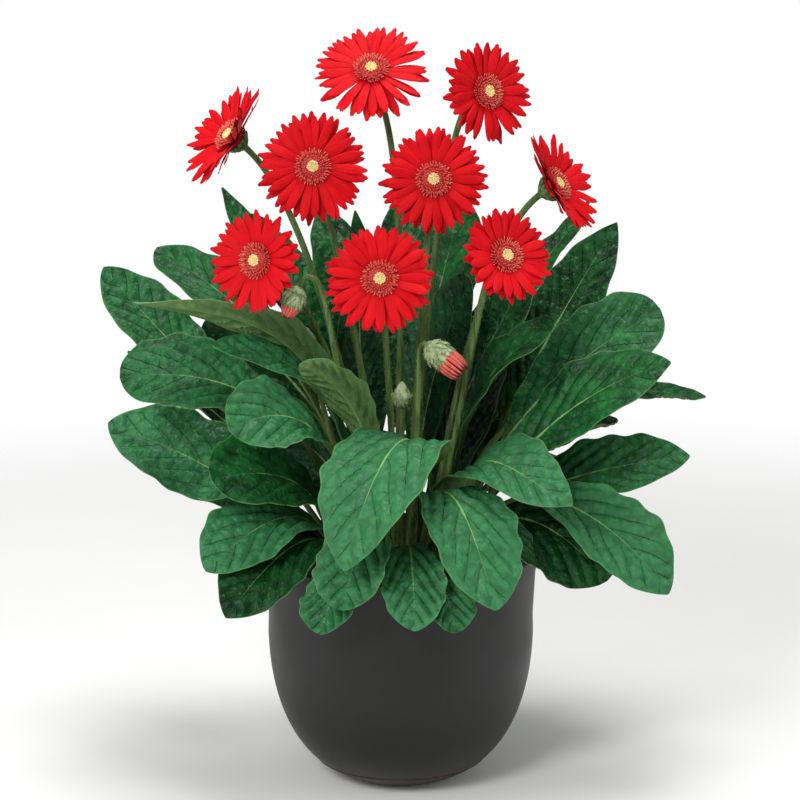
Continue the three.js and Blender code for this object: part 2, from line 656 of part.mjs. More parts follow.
BUDS.forEach((bud, index) => {
  const label = String(index + 1);
  const root = point(...bud.root, SOIL_LEVEL - ROOT_DEPTH);
  const start = root.clone().addScaledVector(UP, ROOT_LENGTH);
  const route = [root, start, ...bud.route.map((at) => point(...at))];
  const curve = new THREE.CatmullRomCurve3(route, false, 'centripetal');
  burrowFor(curve, 1 / BUD_STEPS);
  const turn = new THREE.Quaternion().setFromUnitVectors(UP, point(...bud.axis).normalize());
  const size = point(bud.scale, bud.scale, bud.scale);
  const frame = new THREE.Matrix4().compose(route[route.length - 1], turn, size);
  const calyx = turned(bud.open > 0 ? CALYX_PROFILE : SHUT_TOP, CUP_SIDES).applyMatrix4(frame);
  addPiece(`bud_${label}`, fuse([tube(curve, SCAPE_RADIUS, BUD_STEPS), calyx]), scapeMaterial);
  if (bud.open > 0) {
    const quills = addPiece(`bud_petals_${label}`, quillsGeometry(bud), petalMaterial);
    quills.applyMatrix4(frame);
  }
});

// ---- Soil: fills the pot, mounded to the crown, with a hole for every stalk --------

function soilProfile() {
  const wall = POT_RIM_RADIUS - POT_WALL - CLEARANCE;
  const lining = bowlInside(POT_WALL + CLEARANCE, FLOOR_THICKNESS + CLEARANCE);
  return [
    [0, FLOOR_THICKNESS + CLEARANCE],
    ...lining,
    [wall - 1, SOIL_LEVEL],
    [CROWN_RADIUS, SOIL_LEVEL + SOIL_MOUND],
    [0, SOIL_LEVEL + SOIL_MOUND],
  ];
}

const soilSolid = burrows.reduce(
  (soil, burrow) => soil.subtract(solidOf(burrow)),
  solidOf(turned(soilProfile(), POT_SIDES)),
);
addPiece('soil', geometryOf(soilSolid), finish(0x3a2a1e, 0.95));
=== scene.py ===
import math

import bpy
import numpy as np
from mathutils import Matrix, Vector, noise


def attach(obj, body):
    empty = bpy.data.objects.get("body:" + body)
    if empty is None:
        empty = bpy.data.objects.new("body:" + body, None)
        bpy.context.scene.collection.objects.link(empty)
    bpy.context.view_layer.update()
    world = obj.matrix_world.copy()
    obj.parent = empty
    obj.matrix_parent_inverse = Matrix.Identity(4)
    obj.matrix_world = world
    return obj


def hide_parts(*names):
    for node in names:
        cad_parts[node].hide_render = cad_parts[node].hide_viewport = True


# ---- Frame -------------------------------------------------------------------------
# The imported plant, in metres: origin at the middle of the pot's foot, front towards -Y.
# Sizes below are in millimetres, as on a drawing, and go through MM on their way in.

MM = 0.001
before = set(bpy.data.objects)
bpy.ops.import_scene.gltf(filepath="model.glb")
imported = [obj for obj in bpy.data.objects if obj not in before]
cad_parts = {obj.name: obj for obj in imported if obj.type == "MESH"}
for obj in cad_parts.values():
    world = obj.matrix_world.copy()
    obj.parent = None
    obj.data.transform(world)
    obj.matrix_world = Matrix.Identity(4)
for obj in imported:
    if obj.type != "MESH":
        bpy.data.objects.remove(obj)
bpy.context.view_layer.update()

# ---- Pot ---------------------------------------------------------------------------
# A bowl-shaped planter moulded in matt charcoal resin, open at the top. Its wall is
# 6 mm thick, the lip is rounded, and the foot has a shallow recess, so it sits flat.

POT_HEIGHT = 188
POT_RIM_RADIUS = 111
POT_WALL = 6
POT_SIDES = 128
LIP = 2.4  # its rounding
FOOT_RECESS = 1.4
FOOT = [(0, FOOT_RECESS), (34, FOOT_RECESS), (36, 0.4), (37, 0), (41.2, 0), (42, 0.25)]
BOWL = [(43, 0), (77.5, 10), (105.5, 46), (107.8, 118)]  # pull points of the round side
SHOULDER = [(107.375, 135), (108.25, 152), (109.125, 169)]  # nearly straight, to the lip
FLOOR_THICKNESS = 7


def paint(code):
    """A colour written as on a paint card, in the linear values that shaders use."""
    levels = [int(code[i:i + 2], 16) / 255 for i in (0, 2, 4)]
    return [v / 12.92 if v <= 0.04045 else ((v + 0.055) / 1.055) ** 2.4 for v in levels] + [1.0]


def node(tree, kind, inputs=None, **settings):
    """A node with its settings, and its inputs given as values or as sockets to link."""
    fresh = tree.nodes.new(kind)
    for key, value in settings.items():
        setattr(fresh, key, value)
    for key, value in (inputs or {}).items():
        if isinstance(value, bpy.types.NodeSocket):
            tree.links.new(value, fresh.inputs[key])
        else:
            fresh.inputs[key].default_value = value
    return fresh


def made(tree, kind, inputs=None, **settings):
    """The first output of a new node."""
    return node(tree, kind, inputs, **settings).outputs[0]


def maths(tree, operation, *values):
    """The result of a Math node on values or sockets."""
    return made(tree, "ShaderNodeMath", dict(enumerate(values)), operation=operation)


def plus(tree, first, second):
    return maths(tree, "ADD", first, second)


def split_xyz(tree, vector):
    return node(tree, "ShaderNodeSeparateXYZ", {0: vector}).outputs


def ramp(tree, value, start, end, low=0.0, high=1.0):
    """value between start and end, as a soft step from low to high."""
    return made(tree, "ShaderNodeMapRange", {0: value, 1: start, 2: end, 3: low, 4: high},
                interpolation_type="SMOOTHSTEP")


def blended(tree, share, first, second):
    """first where share is 0 and second where it is 1."""
    return node(tree, "ShaderNodeMix", {0: share, 6: first, 7: second}, data_type="RGBA").outputs[2]


def new_tree(name, inputs, outputs=("Geometry", "Geometry"), kind="GeometryNodeTree"):
    """An empty node group. Each input has its type or its default value, and outputs lists
    names and types in turn. Returns the group and its inputs by name."""
    tree = bpy.data.node_groups.new(name, kind)
    for label, value in inputs.items():
        sort = {int: "Int", float: "Float"}.get(type(value), value)
        socket = tree.interface.new_socket(label, in_out="INPUT", socket_type="NodeSocket" + sort)
        if sort != value:
            socket.default_value = value
    for label, sort in zip(outputs[::2], outputs[1::2]):
        tree.interface.new_socket(label, in_out="OUTPUT", socket_type="NodeSocket" + sort)
    return tree, node(tree, "NodeGroupInput").outputs


def close_tree(tree, **results):
    node(tree, "NodeGroupOutput", results)
    return tree


def mottle_group():
    """Two colours that run into each other in soft clouds, with the clouds as a height."""
    tree, given = new_tree(
        "mottle", {"Vector": "Vector", "Scale": 20.0, "Detail": 3.0, "Spread": 0.18,
                   "Dark": "Color", "Light": "Color"},
        ("Color", "Color", "Height", "Float"), "ShaderNodeTree")
    clouds = made(tree, "ShaderNodeTexNoise", {"Vector": given["Vector"], "Scale": given["Scale"],
                                               "Detail": given["Detail"]})
    low = maths(tree, "SUBTRACT", 0.5, given["Spread"])
    high = plus(tree, 0.5, given["Spread"])
    share = ramp(tree, clouds, low, high)
    return close_tree(tree, Color=blended(tree, share, given["Dark"], given["Light"]),
                      Height=clouds)


MOTTLE = mottle_group()


def grouped(tree, group, inputs):
    """A node that stands for a whole group, with its own values."""
    kind = "ShaderNodeGroup" if tree.type == "SHADER" else "GeometryNodeGroup"
    return node(tree, kind, inputs, node_tree=group)


def mottled(tree, where, scale, dark, light, detail=3.0, spread=0.18):
    return grouped(tree, MOTTLE, {"Vector": where, "Scale": scale, "Dark": dark, "Light": light,
                                  "Detail": detail, "Spread": spread})


def new_finish(name, roughness, specular=0.5):
    """A material with one Principled shader. Returns the material, its tree and the shader."""
    material = bpy.data.materials.new(name)
    material.use_nodes = True
    tree = material.node_tree
    tree.nodes.clear()
    skin = node(tree, "ShaderNodeBsdfPrincipled",
                {"Roughness": roughness, "Specular IOR Level": specular})
    node(tree, "ShaderNodeOutputMaterial", {"Surface": skin.outputs[0]})
    return material, tree, skin


def relief(tree, skin, height, depth):
    """Bumps of that depth in metres, from a height between 0 and 1."""
    bump = node(tree, "ShaderNodeBump", {"Height": height, "Distance": depth})
    tree.links.new(bump.outputs[0], skin.inputs["Normal"])


def object_place(tree):
    return node(tree, "ShaderNodeTexCoord").outputs["Object"]


def pot_finish():
    material, tree, skin = new_finish("charcoal_resin", 0.5, 0.4)
    where = object_place(tree)
    clouds = mottled(tree, where, 14.0, paint("0b0a0a"), paint("121110"))
    height = split_xyz(tree, where)[2]
    dust = ramp(tree, height, 0.0, 0.05, 0.25, 0.0)
    rubbed = ramp(tree, height, 0.182, 0.188, 0.0, 0.35)
    worn = plus(tree, dust, rubbed)
    tree.links.new(blended(tree, worn, clouds.outputs["Color"], paint("4a4542")),
                   skin.inputs["Base Color"])
    grain = made(tree, "ShaderNodeTexNoise", {"Vector": where, "Scale": 1100.0, "Detail": 2.0})
    tree.links.new(ramp(tree, clouds.outputs["Height"], 0.3, 0.7, 0.42, 0.56),
                   skin.inputs["Roughness"])
    relief(tree, skin, grain, 0.00012)
    return material


def bezier(points, shares):
    """Points at these shares of a cubic pull curve."""
    a, b, c, d = (np.array(p, float) for p in points)
    t = np.asarray(shares, float)[:, None]
    return a * (1 - t) ** 3 + 3 * b * t * (1 - t) ** 2 + 3 * c * t * t * (1 - t) + d * t ** 3


def turned(profile, sides):
    """Points and faces of a profile of radius and height, spun round Z. It runs outwards
    along the bottom, up the outside and back along the top."""
    points, faces, previous = [], [], None
    for radius, height in profile:
        start = len(points)
        if radius < 1e-6:
            points.append((0.0, 0.0, height))
            ring = [start] * sides
        else:
            turns = np.arange(sides) * 2 * math.pi / sides
            points += [(radius * math.cos(a), radius * math.sin(a), height) for a in turns]
            ring = list(range(start, start + sides))
        if previous:
            for i in range(sides):
                j = (i + 1) % sides
                quad = list(dict.fromkeys([previous[i], previous[j], ring[j], ring[i]]))
                if len(quad) > 2:
                    faces.append(quad)
        previous = ring
    return np.array(points), faces


def new_mesh(name, points, faces, *materials, sharp=50):
    """A smooth mesh from points in millimetres, with edges above the sharp angle kept crisp."""
    mesh = bpy.data.meshes.new(name)
    mesh.from_pydata((np.asarray(points, float) * MM).tolist(), [], faces)
    for material in materials:
        mesh.materials.append(material)
    mesh.polygons.foreach_set("use_smooth", [True] * len(mesh.polygons))
    mesh.set_sharp_from_angle(angle=math.radians(sharp))
    return mesh


def placed(name, mesh):
    piece = bpy.data.objects.new(name, mesh)
    bpy.context.scene.collection.objects.link(piece)
    return piece


def formed(name, points, faces, *materials, sharp=50):
    """A new mesh as a piece of its own."""
    return placed(name, new_mesh(name, points, faces, *materials, sharp=sharp))


def mounted(piece, slot, *nodes):
    """The piece stands on the plant's one body, and stands for these solids."""
    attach(piece, "root")
    if nodes:
        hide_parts(*nodes)


def arc(centre, radius, start, end):
    """Six corners of a rounding, between two directions in degrees."""
    turns = np.radians(np.linspace(start, end, 6))
    return [(centre[0] + radius * math.cos(a), centre[1] + radius * math.sin(a)) for a in turns]


def pot_profile():
    """Radius and height round the pot's section, from the middle of the foot to the floor."""
    inside = POT_RIM_RADIUS - POT_WALL
    lining = [(max(x - POT_WALL, 0), max(z + POT_WALL * (1 - z / BOWL[-1][1]), FLOOR_THICKNESS))
              for x, z in bezier(BOWL, np.linspace(1, 0, 24))]
    return [*FOOT, *bezier(BOWL, np.linspace(0.02, 1, 40)), *SHOULDER,
            *arc((POT_RIM_RADIUS - LIP, POT_HEIGHT - LIP), LIP, 0, 90),
            *arc((inside + LIP, POT_HEIGHT - LIP), LIP, 90, 180), *lining, (0, FLOOR_THICKNESS)]


mounted(formed("pot_bowl", *turned(pot_profile(), POT_SIDES), pot_finish()), "pot", "pot")

# ---- Soil --------------------------------------------------------------------------
# Dark peat mix fills the pot to 20 mm under the rim and is mounded to the crown. Loose
# crumbs of peat and bark lie all over it.

SOIL_LEVEL = 168
SOIL_MOUND = 7
SOIL_RADIUS = 104.7
CROWN_RADIUS = 66
SOIL_ROUGHNESS = 1.1
SOIL_FOOT = [(0, 8), (40, 8), (70, 14), (92, 50), (100, 110), (104.1, 162)]  # clear of the pot
CRUMB = [(0, -0.9), (0.9, -0.5), (1.1, 0.3), (0, 0.8)]
CRUMBS_PER_SQUARE_METRE = 90000


def soil_finish():
    material, tree, skin = new_finish("peat", 0.95)
    where = object_place(tree)
    clods = mottled(tree, where, 160.0, paint("1d130d"), paint("4a3526"), detail=5.0)
    tree.links.new(clods.outputs["Color"], skin.inputs["Base Color"])
    relief(tree, skin, clods.outputs["Height"], 0.002)
    return material


def soil_points():
    """The soil's closed shape, uneven only where it lies open."""
    slope = SOIL_MOUND / (SOIL_RADIUS - CROWN_RADIUS)
    top = [(r, SOIL_LEVEL + min(SOIL_MOUND, slope * (SOIL_RADIUS - r)))
           for r in np.linspace(SOIL_RADIUS, 2, 40)]
    points, faces = turned(SOIL_FOOT + top + [(0, SOIL_LEVEL + SOIL_MOUND)], 96)
    for point in points:
        if point[2] > SOIL_LEVEL - 1:
            lump = noise.fractal(Vector(point / 9), 1.0, 2.0, 3)
            point[2] += SOIL_ROUGHNESS * lump - 0.5
    return points, faces


def run_tree(name, tree, mesh, inputs):
    """Grows a Geometry Nodes tree on a mesh and keeps what it makes as a plain mesh."""
    carrier = placed(name + "_carrier", mesh)
    growth = carrier.modifiers.new("growth", "NODES")
    growth.node_group = tree
    for socket in tree.interface.items_tree:
        if socket.item_type == "SOCKET" and socket.in_out == "INPUT" and socket.name in inputs:
            growth[socket.identifier] = inputs[socket.name]
    depsgraph = bpy.context.evaluated_depsgraph_get()
    grown = bpy.data.meshes.new_from_object(carrier.evaluated_get(depsgraph),
                                            preserve_all_data_layers=True, depsgraph=depsgraph)
    carrier.modifiers.remove(growth)
    bpy.data.objects.remove(carrier)
    grown.name = name
    return grown


def randomly(tree, low, high, seed, offset):
    """A random number for each item, from the tree's seed."""
    mixed = plus(tree, seed, offset)
    return node(tree, "FunctionNodeRandomValue", {2: low, 3: high, 8: mixed},
                data_type="FLOAT").outputs[1]


def joined_xyz(tree, x, y, z):
    return made(tree, "ShaderNodeCombineXYZ", {0: x, 1: y, 2: z})


def coated(tree, geometry, finish):
    return made(tree, "GeometryNodeSetMaterial", {"Geometry": geometry, "Material": finish})


def form_of(tree, thing):
    return node(tree, "GeometryNodeObjectInfo", {"Object": thing}).outputs["Geometry"]


def scatter_tree():
    """A small part strewn over the faces that look up, in all sizes and directions."""
    tree, given = new_tree("scatter", {
        "Geometry": "Geometry", "Part": "Object", "Density": 1000.0, "Smallest": 0.5,
        "Largest": 1.5, "Seed": 1, "Finish": "Material"})
    up = split_xyz(tree, made(tree, "GeometryNodeInputNormal"))[2]
    spots = node(tree, "GeometryNodeDistributePointsOnFaces",
                 {"Mesh": given["Geometry"], "Selection": maths(tree, "GREATER_THAN", up, 0.5),
                  "Density": given["Density"], "Seed": given["Seed"]})
    spin = joined_xyz(tree, *[randomly(tree, -math.pi, math.pi, given["Seed"], k)
                              for k in (1, 2, 3)])
    size = joined_xyz(tree, *[randomly(tree, given["Smallest"], given["Largest"], given["Seed"], k)
                              for k in (4, 5, 6)])
    part = form_of(tree, given["Part"])
    strewn = made(tree, "GeometryNodeInstanceOnPoints",
                  {"Points": spots.outputs[0], "Instance": part, "Rotation": spin, "Scale": size})
    real = made(tree, "GeometryNodeRealizeInstances", {0: strewn})
    return close_tree(tree, Geometry=coated(tree, real, given["Finish"]))


PEAT = soil_finish()
soil_mesh = new_mesh("soil_bed", *soil_points(), PEAT)
soil_bed = placed("soil_bed", soil_mesh)
crumb = formed("crumb", *turned(CRUMB, 5), sharp=30)
crumbs_mesh = run_tree("soil_crumbs", scatter_tree(), soil_mesh.copy(), {
    "Part": crumb, "Density": CRUMBS_PER_SQUARE_METRE, "Smallest": 0.5, "Largest": 1.7,
    "Seed": 5, "Finish": PEAT})
bpy.data.objects.remove(crumb)
soil_crumbs = placed("soil_crumbs", crumbs_mesh)
mounted(soil_bed, "soil", "soil")
mounted(soil_crumbs, "soil")

# ---- Leaves ------------------------------------------------------------------------
# Each leaf is a grooved stalk that rises from the crown and runs on as the midrib of an
# oval blade. Veins are sunk in the upper side and raised below, and the blade between
# them is puckered. The margin waves and has a thin pale rim.

ROOT_DEPTH = 14
ROOT_LENGTH = 26  # straight start of every stalk
STALK_HALF_WIDTH = 2.2
STALK_THICKNESS = 3.6
RIB_THICKNESS = 1.7
EDGE_THICKNESS = 0.7
TIP_HALF_WIDTH = 0.5
STALK_GROOVE = 0.7  # depth on its upper side
STALK_ROWS = 10  # of points along a leaf's stalk
WAVE = 2.4  # height of the margin's waves
WAVES = 2.5  # along each margin
RIPPLE = 0.8  # height of the small waves on them
RIPPLE_OUT = 0.035  # how far those reach out, as a share of the half width
VEIN_SPACING = 22.0  # along the midrib, on a blade of 66 mm
VEIN_REACH = 1.0  # how far the veins sweep forward
VEIN_BEND = 1.2
VEIN_STRAY = 6.0
VEIN_SLANT = 0.62  # distance across a vein over distance along the midrib
VEIN_DEPTH = 1.5
VEIN_WIDTH = 1.7
RIB_WIDTH = 3.0
RIB_DEPTH = 1.2
PUFF = 1.9  # rise of the blade between two veins
PUCKERS = [(1.3, 10.0, 0), (0.7, 5.5, 9)]  # height, size, step of the seed
RELIEF_WIDTH = 14  # half width from which a blade has its full relief
RELIEF_EDGE = 2.6  # how steeply the relief starts at the margin
FINE_GRID = (62, 33)  # points along and across a blade
COARSE_GRID = (40, 21)
TO_THE_TIP, TO_THE_MARGIN = 1.15, 0.92  # how the points crowd there
AT_THE_BACK = ("leaves_back", "leaves_low")  # tufts with coarse blades
BLADE_SCALE = 0.01  # blade coordinates, a unit is 100 mm
BLADE_STEP = 37  # between the coordinates of two blades, in mm


def leaf(tip, at, rise, droop, width, arm, length, roll=(0, 0), lean=12, sway=0, fold=0.16,
         swell=1.2, taper=0.62, tone=0.4):
    """tip: where it ends. at: its root in the crown, degrees round from +X and mm out.
    rise, lean, sway: first pull, up, out and to +X. droop: slope of the tip, over a pull of
    arm. width, length: of the blade. swell, taper: how fast it widens and narrows, 1 for
    straight sides. roll: its twist at base and tip. tone: 0 dark to 1 light, partly the
    leaf's own green and partly painted light and shade for how lit each leaf stands."""
    return {"tip": tip, "at": at, "rise": rise, "droop": droop, "width": width, "lean": lean,
            "arm": arm, "length": length, "roll": roll, "fold": fold, "sway": sway,
            "swell": swell, "taper": taper, "tone": tone}


LEAVES = {
    "leaf_01": [
        leaf((-42, -160, 213), (-50, 47), 236, 66, 90, 75, 172, lean=30, sway=12, fold=0.06,
             swell=0.75, taper=0.85, tone=0.85),
    ],
    "leaf_02": [
        leaf((72, -145, 178), (-75, 50), 175, 62, 78, 65, 140, lean=20, fold=0.08, swell=1.0,
             taper=0.78, tone=1.0),
        leaf((102, -90, 198), (-70.4, 50), 120, 45, 44, 50, 100, tone=0.2),
    ],
    "leaf_03": [
        leaf((130, -120, 254), (-38, 50), 178, 8, 70, 60, 158, roll=(5, 35), lean=0, swell=0.52,
             taper=0.8, tone=0.9),
    ],
    "leaf_04": [
        leaf((11, -140, 160), (-86, 56), 95, 70, 50, 55, 90, taper=0.75, tone=1.1),
        leaf((42, -128, 155), (-81.9, 56), 85, 65, 42, 50, 80, tone=0.8),
    ],
    "leaf_05": [
        leaf((-44, -145, 178), (-101, 50), 112, 60, 58, 55, 105, tone=0.85),
        leaf((-62, -125, 153), (-105.6, 50), 82, 60, 48, 50, 80, tone=0.8),
        leaf((-78, -72, 352), (-97.5, 47), 108, -20, 37, 64, 104, roll=(-50, -50), swell=0.9,
             tone=0.9),
    ],
    "leaf_06": [
        leaf((-135, -105, 160), (-143, 52), 95, 45, 64, 60, 155, roll=(15, 40), taper=0.85,
             tone=0.1),
    ],
    "leaf_07": [
        leaf((-151, -90, 193), (-155, 52), 100, 38, 68, 65, 150, roll=(10, 35), taper=0.75,
             tone=1.0),
    ],
    "leaf_08": [
        leaf((-146, -87, 265), (-165, 48), 105, 4, 74, 60, 140, roll=(20, 50), swell=0.9,
             taper=0.55),
        leaf((-159, -52, 242), (-169.8, 48), 112, 22, 40, 60, 130, roll=(10, 20), tone=0.9),
    ],
    "leaf_09": [
        leaf((-237, 20, 286), (178, 52), 58, -18, 83, 90, 170, roll=(25, 45), lean=30, swell=0.9,
             taper=0.75, tone=0.8),
    ],
    "leaf_10": [
        leaf((-130, -105, 308), (-132, 42), 165, 22, 62, 50, 110, roll=(20, 60), tone=0.85),
    ],
    "leaf_11": [
        leaf((-222, -20, 331), (-176, 38), 145, 10, 71, 90, 160, roll=(25, 50), taper=0.55,
             tone=0.6),
    ],
    "leaf_12": [
        leaf((-247, 100, 401), (162, 45), 103, -46, 60, 90, 190, roll=(20, 40), lean=50, swell=1.3,
             taper=0.75, tone=0.6),
        leaf((-233, 140, 322), (156.9, 45), 80, -20, 40, 80, 150, roll=(0, 10), lean=40, taper=0.9,
             tone=0.1),
    ],
    "leaf_13": [
        leaf((-209, 168, 407), (148, 37), 176, -20, 62, 80, 190, roll=(0, 20), taper=0.7,
             tone=0.5),
    ],
    "leaf_14": [
        leaf((210, -68, 168), (-12, 52), 136, 56, 68, 80, 150, roll=(20, 50), taper=0.85,
             tone=0.9),
        leaf((163, -55, 175), (-7.6, 52), 100, 48, 72, 60, 140, roll=(30, 60), tone=0.1),
    ],
    "leaf_15": [
        leaf((233, 6, 262), (2, 52), 80, -6, 62, 90, 160, roll=(25, 40), taper=0.85, tone=0.65),
        leaf((178, 60, 281), (6.4, 52), 95, -5, 58, 70, 140, tone=0.2),
    ],
    "leaf_16": [
        leaf((211, -40, 348), (-18, 42), 105, -16, 68, 80, 170, roll=(35, 45), lean=25, taper=0.9),
    ],
    "leaf_17": [
        leaf((208, 18, 380), (-1, 40), 131, -28, 72, 80, 180, roll=(30, 50), lean=20, taper=0.5,
             tone=0.6),
    ],
    "leaf_18": [
        leaf((180, 110, 437), (30, 41), 118, -52, 58, 90, 200, roll=(25, 40), lean=40, taper=0.95,
             tone=0.15),
    ],
    "leaf_19": [
        leaf((121, -30, 378), (-6, 33), 170, -35, 58, 70, 170, roll=(10, 30), tone=0.2),
    ],
    "leaves_left": [
        leaf((-207, -40, 395), (-160, 28), 235, -8, 46, 90, 205, roll=(-40, -50), swell=0.9,
             taper=1.5, tone=0.9),
        leaf((-146, -44, 362), (-153, 29), 190, -10, 48, 70, 198, roll=(10, 30), swell=0.9,
             tone=0.75),
    ],
    "leaves_right": [
        leaf((210, 70, 362), (14, 37), 105, -32, 50, 80, 170, roll=(-10, -30), tone=0.7),
        leaf((255, 90, 293), (20.2, 37), 176, 12, 38, 90, 150, roll=(10, 20), taper=0.9),
    ],
    "leaves_back_left": [
        leaf((-152, 160, 460), (136, 30), 190, -45, 38, 80, 180, lean=25, sway=-15, taper=1,
             tone=0.3),
        leaf((-126, 120, 443), (128.4, 30), 190, -50, 52, 80, 180, lean=20, tone=0.3),
        leaf((-66, 150, 446), (120.8, 30), 190, -50, 52, 80, 190, lean=20, taper=0.8, tone=0.3),
        leaf((-38, 110, 447), (113.2, 30), 190, -65, 42, 80, 210, lean=10, sway=-30, swell=0.6,
             taper=0.9, tone=0.2),
    ],
    "leaves_back_right": [
        leaf((2, 150, 455), (88.4, 30), 200, -60, 54, 80, 210, lean=15, swell=0.6, tone=0.3),
        leaf((50, 120, 454), (80.8, 30), 200, -65, 72, 80, 200, lean=10, tone=0.3),
        leaf((52, 62, 402), (73.2, 30), 165, -74, 68, 70, 180, lean=3, tone=0.1),
        leaf((162, 178, 447), (65.6, 30), 190, -45, 34, 80, 180, lean=25, taper=1, tone=0.3),
        leaf((107, 88, 404), (58, 30), 150, -58, 66, 80, 180, lean=25, tone=0.1),
        leaf((86, 112, 345), (50.4, 30), 84, -54, 52, 60, 165, lean=20, swell=0.7, tone=0.0),
    ],
    "leaves_low_left": [
        leaf((-101, 84, 268), (139.2, 50), 100, -20, 64, 50, 125, roll=(40, 50), swell=0.85,
             tone=0.1),
        leaf((-158, 154, 252), (134.6, 50), 110, 22, 56, 70, 130),
        leaf((-165, 150, 350), (130, 50), 150, -20, 60, 70, 150, roll=(30, 40), tone=0.05),
        leaf((-22, 215, 308), (125.4, 50), 175, 8, 64, 70, 130),
        leaf((-50, 185, 172), (120.8, 50), 122, 55, 60, 65, 130),
    ],
    "leaves_low_right": [
        leaf((118, 118, 308), (57.2, 50), 90, -25, 64, 50, 150, roll=(30, 40), swell=0.7,
             tone=0.1),
        leaf((170, 134, 215), (52.6, 50), 75, 30, 62, 70, 130),
        leaf((124, 185, 320), (61.8, 50), 150, 5, 62, 70, 130),
        leaf((78, 205, 300), (66.4, 50), 160, 5, 62, 70, 130),
        leaf((0, 200, 196), (71, 50), 155, 52, 64, 70, 180),
    ],
}


def seeded(seed, count):
    """The same small random numbers, from 0 to 1, that shape the solids' margins."""
    mask = 0xFFFFFFFF
    state, drawn = seed, []
    for _ in range(count):
        state = (state + 0x6D2B79F5) & mask
        mixed = ((state ^ (state >> 15)) * (1 | state)) & mask
        mixed = ((mixed + (((mixed ^ (mixed >> 7)) * (61 | mixed)) & mask)) & mask) ^ mixed
        drawn.append((mixed ^ (mixed >> 14)) / 4294967296)
    return drawn


def unit(vectors):
    vectors = np.asarray(vectors, float)
    return vectors / np.linalg.norm(vectors, axis=-1, keepdims=True)


def evenly(points, shares):
    """Points and directions at shares of the length of a finely stepped line."""
    steps = np.linalg.norm(np.diff(points, axis=0), axis=1)
    run = np.concatenate([[0], np.cumsum(steps)])
    reach = run[-1]
    at = np.stack([np.interp(shares * reach, run, points[:, k]) for k in range(3)], axis=1)
    ways = unit(np.gradient(points, axis=0))
    way = np.stack([np.interp(shares * reach, run, ways[:, k]) for k in range(3)], axis=1)
    return at, unit(way), reach


def leaf_line(shape):
    """The leaf's middle line, from its root in the soil to its tip."""
    tip = np.array(shape["tip"], float)
    degrees, radius = shape["at"]
    angle = math.radians(degrees)
    root = np.array([radius * math.cos(angle), radius * math.sin(angle), SOIL_LEVEL - ROOT_DEPTH])
    outward = tip - root
    outward[2] = 0
    outward = unit(outward)
    slope = math.radians(shape["droop"])
    ending = outward * math.cos(slope) - np.array([0, 0, math.sin(slope)])
    rising = root + np.array([shape["sway"], 0, shape["rise"]]) + outward * shape["lean"]
    return bezier([root, rising, tip - ending * shape["arm"], tip], np.linspace(0, 1, 400)), outward


def turned_about(vectors, axes, angles):
    """vectors turned about axes by angles, row by row."""
    c, s = np.cos(angles)[:, None], np.sin(angles)[:, None]
    along = np.sum(vectors * axes, axis=1)[:, None]
    return vectors * c + np.cross(axes, vectors) * s + axes * along * (1 - c)


def smooth_noise(points, size, seed):
    return np.array([noise.noise(Vector((x / size, y / size, seed * 7.3))) for x, y in points])


def vein_phase(x, y, spacing, seed):
    """Counts the side veins along the blade, a whole number on each, in mm from its base."""
    flat = np.stack([x.ravel(), y.ravel()], axis=1)
    stray = VEIN_STRAY * smooth_noise(flat, 28.0, seed + 4).reshape(x.shape)
    return (y + stray - VEIN_REACH * np.abs(x) ** VEIN_BEND) / spacing + 0.5 * (x > 0)


def blade_relief(x, y, phase, half, share, spacing, seed):
    """Height of the upper side over its smooth sheet, and how far a vein stands out below.
    x: mm from the midrib, y: mm from the blade's base, share: of the half width."""
    apart = np.abs(phase - np.round(phase)) * spacing * VEIN_SLANT
    wide = np.clip(half / RELIEF_WIDTH, 0, 1)
    inner = np.clip((1 - share) * RELIEF_EDGE, 0, 1) * wide
    vein = np.exp(-(apart / VEIN_WIDTH) ** 2) * inner
    rib = np.exp(-(x / RIB_WIDTH) ** 2)
    flat = np.stack([x.ravel(), y.ravel()], axis=1)
    pucker = sum(rise * smooth_noise(flat, size, seed + step) for rise, size, step in PUCKERS)
    puff = PUFF * np.cos(2 * np.pi * (phase - 0.5)) * 0.5 + pucker.reshape(x.shape)
    height = inner * puff * (1 - rib) - VEIN_DEPTH * vein * (1 - rib) - RIB_DEPTH * rib * wide
    return height, np.maximum(vein * 0.5, rib)


